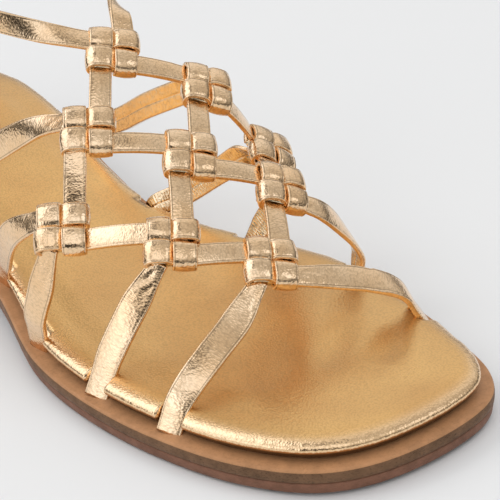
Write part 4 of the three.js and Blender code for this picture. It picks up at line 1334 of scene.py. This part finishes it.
class SandalStage(bpy.types.Operator):
    """Pale floor, soft lights and the photograph's camera."""
    bl_idname = "sandal.stage"
    bl_label = "Floor, lights and camera"

    def execute(self, context):
        self.floor()
        self.world()
        self.light("key_softbox", (0.65, -0.75, 1.15), (0.0, 0.13, 0.02), (1.0, 0.8), 5.5)
        self.light("overhead_softbox", (-0.25, 0.45, 1.5), (0.0, 0.13, 0.0), (1.4, 1.2), 6.5)
        self.light("side_softbox", (1.2, 0.5, 0.7), (0.0, 0.13, 0.03), (0.6, 0.8), 1.5)
        self.camera()
        context.scene.view_settings.view_transform = "Standard"
        context.scene.view_settings.look = "None"
        return {"FINISHED"}

    def floor(self):
        mesh = bpy.data.meshes.new("studio_floor")
        reach = 6.0
        corners = [(-reach, -reach, 0.0), (reach, -reach, 0.0), (reach, reach, 0.0), (-reach, reach, 0.0)]
        mesh.from_pydata(corners, [], [(0, 1, 2, 3)])
        mesh.materials.append(pale_floor(colours()))
        made = bpy.data.objects.new("studio_floor", mesh)
        bpy.context.scene.collection.objects.link(made)

    def world(self):
        world = bpy.data.worlds.new("studio")
        bpy.context.scene.world = world
        world.use_nodes = True
        nodes = Nodes(world.node_tree)
        way = nodes.add("ShaderNodeTexCoord").outputs["Generated"]
        path = nodes.add("ShaderNodeLightPath")
        height = nodes.add("ShaderNodeSeparateXYZ", None, Vector=way).outputs["Z"]
        low, high = nodes.span(height, 0.03, 0.45, 0.03, 0.6), nodes.span(height, 0.45, 0.9, 0.0, 0.06)
        level = nodes.maths("ADD", low, high)
        for facing, inside, outside, strength in REFLECTED_BOXES:
            meets = nodes.add("ShaderNodeVectorMath", {"operation": "DOT_PRODUCT"})
            nodes.feed(meets.inputs[0], way)
            nodes.feed(meets.inputs[1], tuple(unit(facing)))
            level = nodes.maths("ADD", level, nodes.span(meets.outputs["Value"], outside, inside, 0.0, strength))
        level = nodes.maths("MAXIMUM", level, 0.03)
        tint = nodes.blend(nodes.span(level, 0.6, 1.3, 0.0, 1.0), WARM_LIGHT, COOL_LIGHT)
        seen = nodes.blend(1.0, level, tint, "MULTIPLY")
        mirrored = nodes.blend(path.outputs["Is Glossy Ray"], (*DIFFUSE_SKY, 1.0), seen)
        back = nodes.add("ShaderNodeBackground", None, Color=mirrored, Strength=1.0)
        output = nodes.add("ShaderNodeOutputWorld")
        world.node_tree.links.new(back.outputs["Background"], output.inputs["Surface"])

    def light(self, name, place, target, size, power):
        data = bpy.data.lights.new(name, "AREA")
        data.shape = "RECTANGLE"
        data.size, data.size_y = size
        data.energy = power
        lamp = bpy.data.objects.new(name, data)
        lamp.visible_glossy = False
        bpy.context.scene.collection.objects.link(lamp)
        away = Vector(place) - Vector(target)
        lamp.matrix_world = Matrix.Translation(place) @ away.to_track_quat("Z", "Y").to_matrix().to_4x4()

    def camera(self):
        a, e, roll = (math.radians(value) for value in (CAMERA_AZIMUTH, CAMERA_ELEVATION, CAMERA_ROLL))
        back = Vector((math.sin(a) * math.cos(e), -math.cos(a) * math.cos(e), math.sin(e)))
        right = Vector((math.cos(a), math.sin(a), 0.0))
        up = back.cross(right)
        turned = right * math.cos(roll) + up * math.sin(roll)
        risen = up * math.cos(roll) - right * math.sin(roll)
        data = bpy.data.cameras.new("photo_camera")
        data.lens, data.sensor_width = CAMERA_LENS, 36.0
        data.clip_start, data.clip_end = 0.01, 50.0
        camera = bpy.data.objects.new("photo_camera", data)
        bpy.context.scene.collection.objects.link(camera)
        turn = Matrix((turned, risen, back)).transposed().to_4x4()
        camera.matrix_world = Matrix.Translation(CAMERA_PLACE) @ turn
        bpy.context.scene.camera = camera


OPERATORS = (
    SandalSole, SandalInsole, SandalHeel, SandalKnots, SandalNet, SandalLegs, SandalAnkle, SandalBuckle, SandalStage,
)


class SandalPanel(bpy.types.Panel):
    """Sizes, colours and pieces of the sandal."""
    bl_idname = "VIEW3D_PT_sandal"
    bl_label = "Gladiator Sandal"
    bl_space_type = "VIEW_3D"
    bl_region_type = "UI"
    bl_category = "Sandal"

    def draw(self, context):
        for group in (context.scene.sandal_sizes, context.scene.sandal_colours):
            box = self.layout.box()
            for key in group.__annotations__:
                box.prop(group, key)
        for operator in OPERATORS:
            self.layout.operator(operator.bl_idname)


CLASSES = (SandalSizes, SandalColours, *OPERATORS, SandalPanel)


def register():
    for kind in CLASSES:
        bpy.utils.register_class(kind)
    bpy.types.Scene.sandal_sizes = bpy.props.PointerProperty(type=SandalSizes)
    bpy.types.Scene.sandal_colours = bpy.props.PointerProperty(type=SandalColours)


def unregister():
    del bpy.types.Scene.sandal_colours
    del bpy.types.Scene.sandal_sizes
    for kind in reversed(CLASSES):
        bpy.utils.unregister_class(kind)


def main():
    register()
    for operator in OPERATORS:
        group, name = operator.bl_idname.split(".")
        if getattr(getattr(bpy.ops, group), name)() != {"FINISHED"}:
            raise RuntimeError(f"{operator.bl_idname} didn't finish")


if __name__ == "__main__":
    main()
